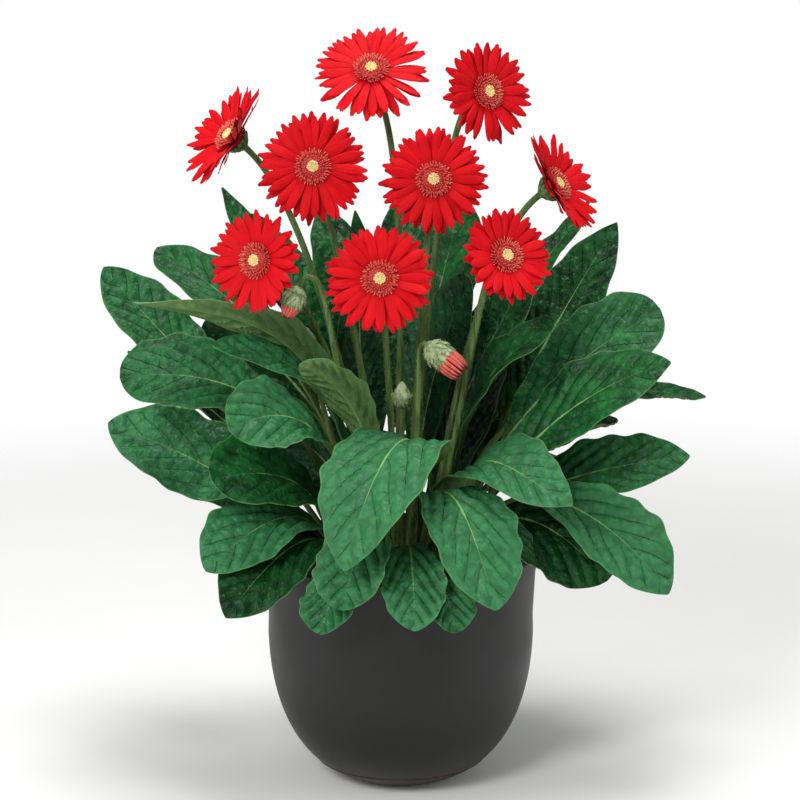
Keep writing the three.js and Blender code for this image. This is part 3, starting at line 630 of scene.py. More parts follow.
def blade_points(shape, seed, rows, columns):
    """Both sheets of a leaf as grids of points, with blade and vein coordinates."""
    line, outward = leaf_line(shape)
    reach = evenly(line, np.array([0.0]))[2]
    base = max(1 - shape["length"] / reach, ROOT_LENGTH / reach + 0.1)
    spread = 1 - (1 - np.linspace(0, 1, rows)) ** TO_THE_TIP
    at = np.concatenate([np.linspace(0, base, STALK_ROWS)[:-1], base + (1 - base) * spread])
    along = np.clip((at - base) / (1 - base), 0, 1)
    centre, way, _ = evenly(line, at)
    level = unit(np.cross([0, 0, 1], outward))
    front = 1 if outward[0] >= 0 else -1
    roll = np.radians(shape["roll"][0] + (shape["roll"][1] - shape["roll"][0]) * along)
    angle = roll * front * np.clip(along * 4, 0, 1)
    side = turned_about(np.repeat(level[None], len(at), 0), way, angle)
    normal = unit(np.cross(way, side))
    swell, taper = shape["swell"], shape["taper"]
    widest = swell / (swell + taper)
    outline = (along / widest) ** swell * ((1 - along) / (1 - widest)) ** taper
    narrow = STALK_HALF_WIDTH + (TIP_HALF_WIDTH - STALK_HALF_WIDTH) * along ** 4
    half = narrow + (shape["width"] / 2 - narrow) * outline
    thin = np.clip(along * 5, 0, 1)
    quarter = math.pi / 2 * TO_THE_MARGIN
    across = np.sin(np.linspace(-1, 1, columns) * quarter) / math.sin(quarter)
    share = np.abs(across)[None, :]
    phases = [2 * math.pi * v for v in seeded(seed, 2)]
    swing = (np.where(across[None, :] < 0, phases[0], phases[1])
             + 2 * math.pi * WAVES * along[:, None])
    ripple = np.sin(swing * 2.7 + 1.3 * seed)
    edge = 1 + outline[:, None] * share ** 3 * RIPPLE_OUT * ripple
    x = across[None, :] * half[:, None] * edge
    y = np.repeat((along * (1 - base) * reach)[:, None], columns, 1)
    lift = outline[:, None] * (shape["fold"] * half[:, None] * share ** 1.5
                               + WAVE * np.sin(swing) * share ** 2 + RIPPLE * ripple * share ** 4)
    spacing = VEIN_SPACING * shape["width"] / 66
    phase = vein_phase(x, y, spacing, seed)
    height, ribs = blade_relief(x, y, phase, half[:, None], share, spacing, seed)
    blade = (along > 0)[:, None]
    rib_half = (STALK_THICKNESS + (RIB_THICKNESS - STALK_THICKNESS) * thin) / 2
    relieved = np.where(blade, height, 0) * np.clip(along * 6, 0, 1)[:, None]
    raised = lift + rib_half[:, None] + relieved
    groove = STALK_GROOVE * (1 - share ** 2) * (1 - thin)[:, None]
    top = (centre[:, None] + side[:, None] * x[..., None]
           + normal[:, None] * (raised - groove)[..., None])
    stalk = STALK_THICKNESS * np.sqrt(np.clip(1 - share ** 2, 0.02, 1)) - groove
    leafy = EDGE_THICKNESS * 0.8 + (RIB_THICKNESS - EDGE_THICKNESS) * ribs
    depth = stalk * (1 - thin)[:, None] + leafy * thin[:, None]
    under = top - normal[:, None] * depth[..., None]
    shares, alongs = np.repeat(share, len(at), 0), np.repeat(along[:, None], columns, 1)
    return top, under, x, y, phase, shares, alongs


def times(tree, first, second):
    return maths(tree, "MULTIPLY", first, second)


def reach_of(tree, vector):
    return node(tree, "ShaderNodeVectorMath", {0: vector}, operation="LENGTH").outputs[1]


def marks(tree, *labels):
    """The marks that a mesh carries under these labels."""
    return [node(tree, "ShaderNodeAttribute", attribute_name=label).outputs["Fac"]
            for label in labels]


def leaf_finish(name, dark, light, bloomy, vein, rim, roughness, depth, lateral_light):
    """Skin of a leaf: clouded green, with painted shade that deepens it towards the middle
    of the plant, with veins that follow the blade and between them a quilt of small domes,
    lightened on top with painted highlights and darkened with painted shade in its creases
    and in the sunk side veins. dark and light: its clouds. bloomy: the paler green of a
    leaf of high tone and of the painted highlights. depth: of its relief. lateral_light:
    how far the side veins show in their own colour."""
    material, tree, skin = new_finish(name, roughness, 0.22)
    blade = made(tree, "ShaderNodeUVMap", uv_map="blade")
    veins = made(tree, "ShaderNodeUVMap", uv_map="veins")
    tone, stalk, along = marks(tree, "tone", "stalk", "along")
    clouds = mottled(tree, blade, 4.5, dark, light, detail=3.0, spread=0.3)
    from_midrib = maths(tree, "ABSOLUTE", split_xyz(tree, blade)[0])
    count, share = split_xyz(tree, veins)[:2]
    beat = maths(tree, "PINGPONG", count, 0.5)
    # furrow marks the sunk side veins: it sinks the relief, and further down it also paints shade
    # into them.
    furrow = ramp(tree, beat, ramp(tree, share, 0.0, 0.9, 0.07, 0.03), 0.0)
    furrow = times(tree, furrow, ramp(tree, share, 0.95, 0.5))
    lateral = ramp(tree, beat, 0.035, 0.012)
    fading = ramp(tree, share, 0.8, 0.05, 0.0, lateral_light)
    lateral = times(tree, lateral, fading)
    slim = ramp(tree, along, 0.0, 0.8, 1.0, 0.2)
    middle = ramp(tree, maths(tree, "DIVIDE", from_midrib, slim), 0.016, 0.009, 0.0, 0.8)
    middle = times(tree, middle, ramp(tree, along, 1.0, 0.35))
    lines = maths(tree, "MAXIMUM", lateral, middle)
    drift = node(tree, "ShaderNodeTexNoise", {"Vector": blade, "Scale": 9.0, "Detail": 2.0})
    bent = made(tree, "ShaderNodeVectorMath",
                {0: drift.outputs["Color"], 1: (0.09, 0.09, 0.0), 2: blade},
                operation="MULTIPLY_ADD")
    quilt = node(tree, "ShaderNodeTexVoronoi", {"Vector": bent, "Scale": 17.0, "Smoothness": 0.5},
                 feature="SMOOTH_F1").outputs["Distance"]
    # Painted shade in the creases between the quilt's domes.
    painted_seam_shade = ramp(tree, quilt, 0.35, 0.75, 0.0, 0.28)
    # Painted highlights on the tops of the quilt's domes, in the paler bloomy green.
    painted_cushion_highlights = ramp(tree, quilt, 0.34, 0.1, 0.0, 0.24)
    middling = made(tree, "ShaderNodeVectorMath",
                    {0: object_place(tree), 1: (1.0, 1.0, 0.0)}, operation="MULTIPLY")
    # Painted shade: the blades darken towards the middle of the plant, where the inner leaves shade
    # them.
    painted_heart_shade = ramp(tree, reach_of(tree, middling), 0.04, 0.12, 0.6, 0.0)
    # tone, set leaf by leaf, is partly the leaf's own green and partly painted light and shade.
    base = blended(tree, ramp(tree, tone, -0.15, 0.35), dark, clouds.outputs["Color"])
    base = blended(tree, ramp(tree, tone, 0.3, 1.1, 0.0, 0.75), base, bloomy)
    # Painted highlights on the dome tops go on here.
    base = blended(tree, painted_cushion_highlights, base, bloomy)
    # Painted shade in the sunk side veins and in the creases of the quilt.
    painted_vein_and_seam_shade = maths(tree, "MAXIMUM", times(tree, furrow, 0.42), painted_seam_shade)
    base = blended(tree, painted_vein_and_seam_shade, base, dark)
    base = blended(tree, lines, base, vein)
    base = blended(tree, ramp(tree, share, 0.965, 0.99, 0.0, 0.45), base, rim)
    stem = mottled(tree, blade, 9.0, paint("38501f"), paint("66803a"))
    base = blended(tree, stalk, base, stem.outputs["Color"])
    # The painted shade towards the middle of the plant goes on last.
    tree.links.new(blended(tree, painted_heart_shade, base, dark), skin.inputs["Base Color"])
    tree.links.new(ramp(tree, clouds.outputs["Height"], 0.3, 0.7, roughness - 0.06,
                        roughness + 0.06), skin.inputs["Roughness"])
    fine = made(tree, "ShaderNodeTexNoise", {"Vector": bent, "Scale": 40.0, "Detail": 2.0})
    height = maths(tree, "MULTIPLY_ADD", fine, 0.35, times(tree, quilt, -0.7))
    height = maths(tree, "MULTIPLY_ADD", furrow, -0.35, height)
    relief(tree, skin, height, depth)
    return material


LEAF_UPPER = leaf_finish("leaf_upper", paint("04290c"), paint("196e2e"), paint("448e5a"),
                         paint("98c476"), paint("76a062"), roughness=0.42, depth=0.0021,
                         lateral_light=0.05)
LEAF_UNDER = leaf_finish("leaf_under", paint("26461c"), paint("4a7433"), paint("6f8f58"),
                         paint("86a35c"), paint("809b62"), roughness=0.7, depth=0.0005,
                         lateral_light=0.35)


def mark(mesh, **marked):
    """Writes numbers for each point of a mesh, under labels that its material reads."""
    for label, values in marked.items():
        layer = mesh.attributes.new(label, "FLOAT", "POINT")
        layer.data.foreach_set("value", np.asarray(values, np.float32))


def leaf_mesh(name, shapes, first_seed):
    """One mesh for the leaves of a node, each a closed blade with its own coordinates."""
    rows, columns = COARSE_GRID if name.startswith(AT_THE_BACK) else FINE_GRID
    points, faces, finishes = [], [], []
    maps = {"blade": [], "veins": []}
    tones, stalks, alongs = [], [], []
    for seed, shape in enumerate(shapes, first_seed):
        top, under, x, y, phase, share, along = blade_points(shape, seed, rows, columns)
        count = top.shape[0]
        start = len(points)
        points += top.reshape(-1, 3).tolist() + under.reshape(-1, 3).tolist()
        offset = count * columns
        blade = np.stack([x, y + BLADE_STEP * seed], -1).reshape(-1, 2) * BLADE_SCALE
        vein = np.stack([phase, share], -1).reshape(-1, 2)
        other = np.stack([np.where(x == 0, phase + 0.5, phase), share], -1).reshape(-1, 2)
        middle = columns // 2

        def add(face, finish, right):
            faces.append([start + v for v in face])
            finishes.append(finish)
            for v in face:
                v %= offset
                maps["blade"].append(blade[v])
                maps["veins"].append(other[v] if right else vein[v])

        for r in range(count - 1):
            for c in range(columns - 1):
                a, b, d, e = (r * columns + c, (r + 1) * columns + c, (r + 1) * columns + c + 1,
                              r * columns + c + 1)
                add([a, b, d, e], 0, c >= middle)
                add([offset + v for v in (a, e, d, b)], 1, c >= middle)
            left, right = r * columns, r * columns + columns - 1
            add([left, left + offset, left + columns + offset, left + columns], 0, False)
            add([right, right + columns, right + columns + offset, right + offset], 0, True)
        last = (count - 1) * columns
        for c in range(columns - 1):
            add([c, c + 1, c + 1 + offset, c + offset], 1, False)
            add([last + c, last + c + offset, last + c + 1 + offset, last + c + 1], 1, False)
        tones += [shape["tone"]] * (2 * offset)
        stalk = 1 - np.clip(along * 5, 0, 1)
        stalks += stalk.ravel().tolist() * 2
        alongs += along.ravel().tolist() * 2
    mesh = new_mesh(name, points, faces, LEAF_UPPER, LEAF_UNDER)
    mesh.polygons.foreach_set("material_index", finishes)
    for label, values in maps.items():
        mesh.uv_layers.new(name=label).data.foreach_set("uv", np.array(values, np.float32).ravel())
    mark(mesh, tone=tones, stalk=stalks, along=alongs)
    return mesh


leaf_seed = 2
for leaf_name, leaf_shapes in LEAVES.items():
    blade_piece = placed(leaf_name + "_blade", leaf_mesh(leaf_name, leaf_shapes, leaf_seed))
    leaf_seed += len(leaf_shapes)
    mounted(blade_piece, "leaf", leaf_name)

# ---- Stalks ------------------------------------------------------------------------
# Each bloom stands on a bare, solid stalk with fine ribs and a down of short pale hairs.
# Its head sits in a green cup wrapped in three rows of narrow scale leaves.

STALK_RADIUS = 2.8
STALK_SIDES = 18
STALK_STEPS = 72
STALK_RIBS = 0.035  # their height, as a share of the radius
STALK_THINNING = 0.2  # share of the radius that it loses on its way up
NECK_SWELL = 9  # length over which the neck widens into the cup
HAIRS_PER_SQUARE_METRE = 130000
HAIR_LENGTH = 1.3
HAIR_THICKNESS = 0.13
HAIR_LEAN = 0.6  # radians at most
HAIR_SIZES = (0.5, 1.1)
NECK_END = 12


def flower(centre, radius, root, yaw, pitch, lean, neck=40, sway=0, cup=0, fold=0.0):
    """centre: of the petal ring. yaw, pitch: the way it faces, from -Y and up, in degrees.
    root: of its stalk in the crown. lean: first pull of the stalk. neck: its last pull, and
    sway: how far that stands to +X. cup: rise of the petals in degrees. fold: how fast the
    petals rise on the side of local +X, or of -X if negative."""
    return {"centre": centre, "radius": radius, "root": root, "yaw": yaw, "pitch": pitch,
            "lean": lean, "neck": neck, "sway": sway, "cup": cup, "fold": fold}


BLOOMS = [
    flower((-23, 15, 570.5), 44, (-4.5, 10), -3, 42, (8, 5, 270), neck=70, sway=20),
    flower((-68, -25, 499.5), 42, (-9.5, 1.5), 0, 12, (-15, 10, 200), neck=45),
    flower((25.5, -20, 489), 41, (5, -7), 0, 12, (8, 15, 220), neck=45),
    flower((67, 15, 553.5), 39.5, (5, 10), 34, 14, (15, 15, 230), neck=45, cup=4),
    flower((-132.5, 0, 520), 43.5, (-14, 10), -53, 35, (-30, 5, 200), neck=60, cup=8, fold=1.9),
    flower((-110, -60, 431.5), 39, (-14, -7), -30, 10, (-25, 25, 170), cup=9),
    flower((121, -5, 482.5), 42, (19, 1.5), 58, 31, (25, 5, 190), neck=50, cup=12, fold=-1.4),
    flower((-16, -75, 420), 41, (-4.5, -7), 0, 12, (0, -25, 160)),
    flower((80, -55, 434), 37, (14.5, -7), 25, 22, (38, -15, 140), cup=13),
]


def stalk_finish():
    material, tree, skin = new_finish("stalk_skin", 0.6)
    where = object_place(tree)
    stretched = made(tree, "ShaderNodeMapping", {"Vector": where, "Scale": (1, 1, 0.08)})
    streaks = mottled(tree, stretched, 420.0, paint("31511f"), paint("698640"), spread=0.25)
    low = ramp(tree, split_xyz(tree, where)[2], 0.17, 0.23, 0.3, 0.0)
    tree.links.new(blended(tree, low, streaks.outputs["Color"], paint("5c4429")),
                   skin.inputs["Base Color"])
    relief(tree, skin, streaks.outputs["Height"], 0.0004)
    return material


def plain_finish(name, dark, light, scale, roughness, depth):
    """Soft clouds of two colours with a relief that follows them."""
    material, tree, skin = new_finish(name, roughness)
    clouds = mottled(tree, object_place(tree), scale, dark, light)
    tree.links.new(clouds.outputs["Color"], skin.inputs["Base Color"])
    relief(tree, skin, clouds.outputs["Height"], depth)
    return material


def tube(path, radii, sides, ribs=0.0):
    """Points and faces of a closed round bar along a line of points."""
    path = np.asarray(path, float)
    ways = unit(np.gradient(path, axis=0))
    side = unit(np.cross(ways[0], [0.31, 0.95, 0.11]))
    points, faces = [path[0]], []
    turns = np.arange(sides) * 2 * math.pi / sides
    for place, way, radius in zip(path, ways, radii):
        side = unit(side - way * np.dot(side, way))
        other = np.cross(way, side)
        rim = radius * (1 + ribs * np.cos(turns * 6))
        points += list(place + np.outer(rim * np.cos(turns), side)
                       + np.outer(rim * np.sin(turns), other))
    points.append(path[-1])
    for ring in range(len(path) - 1):
        for i in range(sides):
            a = 1 + ring * sides + i
            b = 1 + ring * sides + (i + 1) % sides
            faces.append([a, b, b + sides, a + sides])
    last = 1 + (len(path) - 1) * sides
    for i in range(sides):
        j = (i + 1) % sides
        faces.append([0, 1 + j, 1 + i])
        faces.append([len(points) - 1, last + i, last + j])
    return np.array(points), faces


def strip(rows, columns, outline, height, thickness):
    """A small closed blade along +X, its upper side towards +Z. outline gives x and half
    the width at a share along and across, height lifts it, thickness tapers to the edge."""
    along = np.linspace(0, 1, rows)
    across = np.linspace(-1, 1, columns)
    top = np.array([[(*outline(s, v), height(s, v)) for v in across] for s in along])
    points = [tuple(p) for p in top.reshape(-1, 3)]
    under = np.arange(rows * columns).reshape(rows, columns)
    low = under.copy()
    for r in range(1, rows - 1):
        for c in range(1, columns - 1):
            x, y, z = top[r, c]
            low[r, c] = len(points)
            points.append((x, y, z - thickness * (1 - across[c] ** 4)))
    faces = []
    for r in range(rows - 1):
        for c in range(columns - 1):
            faces.append([under[r, c], under[r + 1, c], under[r + 1, c + 1], under[r, c + 1]])
            faces.append([low[r, c], low[r, c + 1], low[r + 1, c + 1], low[r + 1, c]])
    shared = rows * columns
    return np.array(points), [[int(v) for v in f] for f in faces], shared


def strip_part(name, rows, columns, outline, height, thickness):
    """A strip as an object to repeat, with its place along it and its underside marked."""
    points, faces, shared = strip(rows, columns, outline, height, thickness)
    part = formed(name, points, faces, sharp=100)
    x, y = points[:, 0], points[:, 1]
    mark(part.data, along=x / x.max(), across=y / np.abs(y).max(),
         under=np.arange(len(points)) >= shared)
    return part


def whorl_group():
    """Parts set in a ring round Z, each pointing outwards and tilted up."""
    tree, given = new_tree("whorl", {
        "Parts": "Geometry", "Count": 12, "Radius": 0.01, "Height": 0.0, "Tilt": 0.0, "Turn": 0.0,
        "Spread": 0.1, "Tilt Spread": 0.05, "Roll Spread": 0.05, "Shortest": 0.95,
        "Longest": 1.05, "Width": 1.0, "Seed": 1})
    seed = given["Seed"]
    points = made(tree, "GeometryNodePoints", {"Count": given["Count"]})
    index = made(tree, "GeometryNodeInputIndex")
    away = randomly(tree, -1.0, 1.0, seed, 1)
    stop = plus(tree, index, given["Turn"])
    stop = plus(tree, stop, times(tree, away, given["Spread"]))
    angle = maths(tree, "DIVIDE", times(tree, stop, 2 * math.pi), given["Count"])
    x = times(tree, maths(tree, "COSINE", angle), given["Radius"])
    y = times(tree, maths(tree, "SINE", angle), given["Radius"])
    ring = made(tree, "GeometryNodeSetPosition",
                {"Geometry": points, "Position": joined_xyz(tree, x, y, given["Height"])})
    nod = times(tree, randomly(tree, -1.0, 1.0, seed, 2), given["Tilt Spread"])
    roll = times(tree, randomly(tree, -1.0, 1.0, seed, 3), given["Roll Spread"])
    rise = times(tree, plus(tree, given["Tilt"], nod), -1.0)
    reach = randomly(tree, given["Shortest"], given["Longest"], seed, 4)
    parts = made(tree, "GeometryNodeInstanceOnPoints",
                 {"Points": ring, "Instance": given["Parts"],
                  "Pick Instance": True, "Instance Index": randomly(tree, 0.0, 2.99, seed, 5),
                  "Rotation": joined_xyz(tree, roll, rise, angle),
                  "Scale": joined_xyz(tree, reach, given["Width"], 1.0)})
    toned = made(tree, "GeometryNodeStoreNamedAttribute",
                 {"Geometry": parts, "Name": "tone", "Value": randomly(tree, 0.0, 1.0, seed, 6)},
                 data_type="FLOAT", domain="INSTANCE")
    return close_tree(tree, Geometry=toned)


WHORL = whorl_group()


def whorl(tree, inputs):
    return grouped(tree, WHORL, inputs).outputs[0]


def parts_of(tree, *objects):
    """The given objects as instances to pick from."""
    several = node(tree, "GeometryNodeJoinGeometry")
    for part in objects:
        info = node(tree, "GeometryNodeObjectInfo", {"Object": part, "As Instance": True})
        tree.links.new(info.outputs["Geometry"], several.inputs[0])
    return several.outputs[0]


def gathered(tree, *geometries):
    """Geometries made real and joined."""
    several = node(tree, "GeometryNodeJoinGeometry")
    for geometry in geometries:
        tree.links.new(geometry, several.inputs[0])
    return made(tree, "GeometryNodeRealizeInstances", {0: several.outputs[0]})


def down_tree():
    """Short hairs standing on every face of a stalk, leaning at random."""
    tree, given = new_tree("down", {
        "Geometry": "Geometry", "Hair": "Object", "Density": 1000.0, "Seed": 1,
        "Finish": "Material"})
    spots = node(tree, "GeometryNodeDistributePointsOnFaces",
                 {"Mesh": given["Geometry"], "Density": given["Density"], "Seed": given["Seed"]})
    lean = joined_xyz(tree, *[randomly(tree, -HAIR_LEAN, HAIR_LEAN, given["Seed"], k)
                              for k in (1, 2)], 0.0)
    leaning = made(tree, "FunctionNodeRotateRotation",
                   {0: spots.outputs["Rotation"], 1: lean}, rotation_space="LOCAL")
    size = randomly(tree, *HAIR_SIZES, given["Seed"], 3)
    hairs = made(tree, "GeometryNodeInstanceOnPoints",
                 {"Points": spots.outputs[0], "Instance": form_of(tree, given["Hair"]),
                  "Rotation": leaning, "Scale": joined_xyz(tree, size, size, size)})
    real = made(tree, "GeometryNodeRealizeInstances", {0: hairs})
    painted = coated(tree, real, given["Finish"])
    return close_tree(tree, Geometry=gathered(tree, given["Geometry"], painted))


def cup_tree():
    """Rows of scale leaves that wrap a cup."""
    tree, given = new_tree("scale_rows", {
        "Scale Leaf": "Object", "Seed": 1, "Finish": "Material"})
    part = parts_of(tree, given["Scale Leaf"])
    rows = [whorl(tree, {
        "Parts": part, "Count": SCALES_PER_ROW, "Radius": radius * MM, "Height": height * MM,
        "Tilt": math.radians(tilt), "Turn": 0.5 * row, "Tilt Spread": 0.06, "Roll Spread": 0.15,
        "Shortest": size * 0.92, "Longest": size * 1.06, "Seed": given["Seed"]})
        for row, (radius, height, tilt, size) in enumerate(SCALE_ROWS)]
    return close_tree(tree, Geometry=coated(tree, gathered(tree, *rows), given["Finish"]))


# Radius and height of the row, tilt of its scales in degrees and their length.
SCALE_ROWS = [(3.2, -14.4, 44, 0.75), (6.2, -12, 52, 0.85), (8.6, -9.2, 66, 0.8)]
SCALES_PER_ROW = 15
CUP = [(0, -15), (3.2, -15), (6.2, -12.4), (8.4, -9.4), (9.8, -6), (10.2, -3.4), (0, -3.4)]
CUP_SIDES = 24
SCALE_LENGTH = 9.5


def scale_outline(s, v):
    half = 1.7 * (0.55 + 1.4 * s) * (1 - s ** 3) + 0.12
    return SCALE_LENGTH * s, half * v


def scale_height(s, v):
    return 1.08 * s * (1 - s) - 0.5 * v * v * (1 - s)


def bloom_frame(bloom):
    """Turns local +Z to the way a bloom faces, and moves it to its place, in metres."""
    yaw, pitch = math.radians(bloom["yaw"]), math.radians(bloom["pitch"])
    facing = Vector((math.sin(yaw) * math.cos(pitch), -math.cos(yaw) * math.cos(pitch),
                     math.sin(pitch)))
    across = Vector((math.cos(yaw), math.sin(yaw), 0))
    turn = Matrix((across, facing.cross(across), facing)).transposed()
    return facing, Matrix.Translation(Vector(bloom["centre"]) * MM) @ turn.to_4x4()


def stalk_line(bloom, facing):
    """The stalk's middle line, from its root in the soil to the back of the bloom."""
    root = np.array([*bloom["root"], SOIL_LEVEL - ROOT_DEPTH], float)
    end = np.array(bloom["centre"], float) - np.array(facing) * NECK_END
    arriving = end - np.array(facing) * bloom["neck"] + np.array([bloom["sway"], 0, 0])
    pull = [root, root + np.array(bloom["lean"], float), arriving, end]
    return bezier(pull, np.linspace(0, 1, 300))


def stalk_shape(line, thinning):
    """A ribbed bar that thins upwards and swells into the cup at its end."""
    shares = np.linspace(0, 1, STALK_STEPS)
    places, _, reach = evenly(line, shares)
    swell = np.clip((shares * reach - reach + NECK_SWELL) / NECK_SWELL, 0, 1) ** 2
    radii = STALK_RADIUS * (1.08 - thinning * shares + 0.25 * swell)
    return tube(places, radii, STALK_SIDES, STALK_RIBS)


STALK_SKIN = stalk_finish()
HAIR_SKIN = plain_finish("pale_hair", paint("a7b089"), paint("c9cfae"), 90.0, 0.6, 0.0001)
SCALE_SKIN = plain_finish("scale_leaf", paint("3f5a2c"), paint("7d9058"), 240.0, 0.65, 0.0003)
DOWN = down_tree()
SCALES = cup_tree()
hair = formed("hair", *turned([(0, 0), (HAIR_THICKNESS, 0.05), (0, HAIR_LENGTH)], 3))
scale_leaf = strip_part("scale_leaf", 6, 5, scale_outline, scale_height, 0.5)


def downy(name, mesh, density, seed):
    """The mesh with short pale hairs all over it."""
    return run_tree(name, DOWN, mesh, {
        "Hair": hair, "Density": density, "Seed": seed, "Finish": HAIR_SKIN})


def merged(name, meshes):
    """Meshes joined into one piece."""
    pieces = [placed(f"{name}_{number}", mesh) for number, mesh in enumerate(meshes)]
    with bpy.context.temp_override(active_object=pieces[0], object=pieces[0],
                                   selected_objects=pieces, selected_editable_objects=pieces):
        bpy.ops.object.join()
    pieces[0].name = name
    return pieces[0]


for number, bloom in enumerate(BLOOMS, 1):
    facing, frame_of_bloom = bloom_frame(bloom)
    bar = new_mesh(f"stalk_{number}", *stalk_shape(stalk_line(bloom, facing), STALK_THINNING),
                   STALK_SKIN)
    bar = downy(f"stalk_{number}", bar, HAIRS_PER_SQUARE_METRE, number)
    cup = new_mesh("cup", *turned(CUP, CUP_SIDES), SCALE_SKIN)
    scales = run_tree("scales", SCALES, bpy.data.meshes.new("empty"), {
        "Scale Leaf": scale_leaf, "Seed": number, "Finish": SCALE_SKIN})
    cup.transform(frame_of_bloom)
    scales.transform(frame_of_bloom)
    mounted(merged(f"stalk_{number}", [bar, cup, scales]), "stalk", f"stem_{number}")

# ---- Petals ------------------------------------------------------------------------
# A bloom has forty-two thin scarlet strap petals in two layers that grow from a small
# core. Each has two shallow furrows and a tapered tip with up to two slight notches, and
# sags a little under its own weight.

PETAL_LENGTH = 34
PETALS_PER_LAYER = 21
PETAL_ROOT = 7
PETAL_HALF_WIDTHS = [(0, 1.6), (0.15, 2.5), (0.4, 3.5), (0.65, 3.9), (0.84, 3.6), (1, 2.1)]
PETAL_THICKNESS = 0.45
PETAL_GRID = (12, 7)  # points along and across


def petal_finish(name, root, blade, light, rim, back):
    """Scarlet skin, darker at the root and streaked along the petal, paler behind."""
    material, tree, skin = new_finish(name, 0.55, 0.12)
    along, across, under, tone = marks(tree, "along", "across", "under", "tone")
    flow = joined_xyz(tree, times(tree, along, 0.6), times(tree, across, 4.0),
                      times(tree, tone, 40.0))
    streaks = mottled(tree, flow, 2.6, blade, light, detail=3.0, spread=0.3)
    shade = blended(tree, ramp(tree, along, 0.0, 0.42, 0.75, 0.0), streaks.outputs["Color"], root)
    shade = blended(tree, times(tree, tone, 0.35), shade, blade)
    shade = blended(tree, ramp(tree, along, 0.88, 1.0, 0.0, 0.5), shade, rim)
    tree.links.new(blended(tree, under, shade, back), skin.inputs["Base Color"])
    relief(tree, skin, streaks.outputs["Height"], 0.0004)
    return material


def petal_part(name, notch, curl, furrow):
    """One petal. notch: depth of the cuts in its tip. curl: rise of the tip. furrow: depth."""
    shares, widths = zip(*PETAL_HALF_WIDTHS)

    def outline(s, v):
        half = np.interp(s, shares, widths)
        tooth = notch * (0.5 - 0.5 * math.cos(3 * math.pi * v)) * s ** 8
        round_tip = 3.0 * abs(v) ** 2.4 * s ** 5
        return PETAL_LENGTH * s - tooth - round_tip, half * v

    def height(s, v):
        ridge = furrow * (math.cos(3 * math.pi * v) - 1) * 0.5 * (1 - s ** 4) * min(1, s * 4)
        return ridge - 0.55 * v * v * min(1, s * 3) + curl * s ** 2.5 + 0.9 * math.sin(math.pi * s)

    return strip_part(name, *PETAL_GRID, outline, height, PETAL_THICKNESS)


def rays_tree():
    """The petals of a bloom in two layers round its core."""
    tree, given = new_tree("rays", {
        "Geometry": "Geometry", "Petal A": "Object", "Petal B": "Object", "Petal C": "Object",
        "Cup": 0.0, "Size": 1.0, "Sag": "Vector", "Fold": 0.0, "Seed": 1, "Finish": "Material"})
    parts = parts_of(tree, given["Petal A"], given["Petal B"], given["Petal C"])
    layers = [whorl(tree, {
        "Parts": parts, "Count": PETALS_PER_LAYER, "Radius": PETAL_ROOT * MM,
        "Height": height * MM, "Tilt": plus(tree, given["Cup"], math.radians(slope)),
        "Turn": 0.5 * layer, "Spread": 0.2, "Tilt Spread": 0.085, "Roll Spread": 0.3,
        "Shortest": times(tree, given["Size"], short - 0.03),
        "Longest": times(tree, given["Size"], short + 0.09),
        "Seed": plus(tree, given["Seed"], 40 * layer)})
        for layer, (height, slope, short) in enumerate(PETAL_LAYERS)]
    whole = gathered(tree, *layers)
    place = made(tree, "GeometryNodeInputPosition")
    far = reach_of(tree, place)
    drift = made(tree, "ShaderNodeTexNoise",
                 {"Vector": place, "Scale": 70.0, "Detail": 1.0, "W": given["Seed"]},
                 noise_dimensions="4D")
    lift = times(tree, maths(tree, "SUBTRACT", drift, 0.5), FLUTTER * MM)
    lift = times(tree, lift, ramp(tree, far, 0.012, 0.04))
    aside = times(tree, split_xyz(tree, place)[0], given["Fold"])
    lift = plus(tree, lift, maths(tree, "POWER", maths(tree, "MAXIMUM", aside, 0.0), 1.5))
    bend = maths(tree, "POWER", maths(tree, "DIVIDE", far, FULL_REACH * MM), 2.5)
    sag = made(tree, "ShaderNodeVectorMath", {0: given["Sag"], "Scale": bend}, operation="SCALE")
    offset = made(tree, "ShaderNodeVectorMath", {0: joined_xyz(tree, 0.0, 0.0, lift), 1: sag},
                  operation="ADD")
    moved = made(tree, "GeometryNodeSetPosition", {"Geometry": whole, "Offset": offset})
    whole = gathered(tree, moved, given["Geometry"])
    return close_tree(tree, Geometry=coated(tree, whole, given["Finish"]))


# Height at the root, slope in degrees and share of the full length, for each layer.
PETAL_LAYERS = [(0.5, 4.5, 0.96), (-1.3, -0.5, 1.0)]
FULL_REACH = 42  # from the middle of a bloom to a petal's tip
FLUTTER = 6  # how far soft waves lift and lower the tips, from end to end
SAG = 1.2  # drop of a petal's tip under its own weight
CORE = [(0, -3), (9.5, -3), (10.8, -2), (10.8, -1), (9.5, 0), (0, 0.6)]

SCARLET = petal_finish("scarlet_petal", paint("9c0612"), paint("cc0412"), paint("ec0e1c"),
                       paint("7c0a2a"), paint("c4262e"))
petals = [petal_part("petal_a", 0.7, -0.6, 0.5), petal_part("petal_b", 0.4, 0.6, 0.7),
          petal_part("petal_c", 1.0, -1.4, 0.4)]
RAYS = rays_tree()
for number, bloom in enumerate(BLOOMS, 1):
    core = new_mesh("core", *turned(CORE, 20))
    frame_of_bloom = bloom_frame(bloom)[1]
    down = frame_of_bloom.to_3x3().transposed() @ Vector((0, 0, -SAG * MM))
    rays = run_tree(f"rays_{number}", RAYS, core, {
        "Petal A": petals[0], "Petal B": petals[1], "Petal C": petals[2],
        "Cup": math.radians(bloom["cup"]), "Size": (bloom["radius"] - PETAL_ROOT) / PETAL_LENGTH,
        "Sag": down, "Fold": bloom["fold"], "Seed": 100 + number, "Finish": SCARLET})
    rays.transform(frame_of_bloom)
    mounted(placed(f"petals_{number}", rays), "petal", f"rays_{number}")

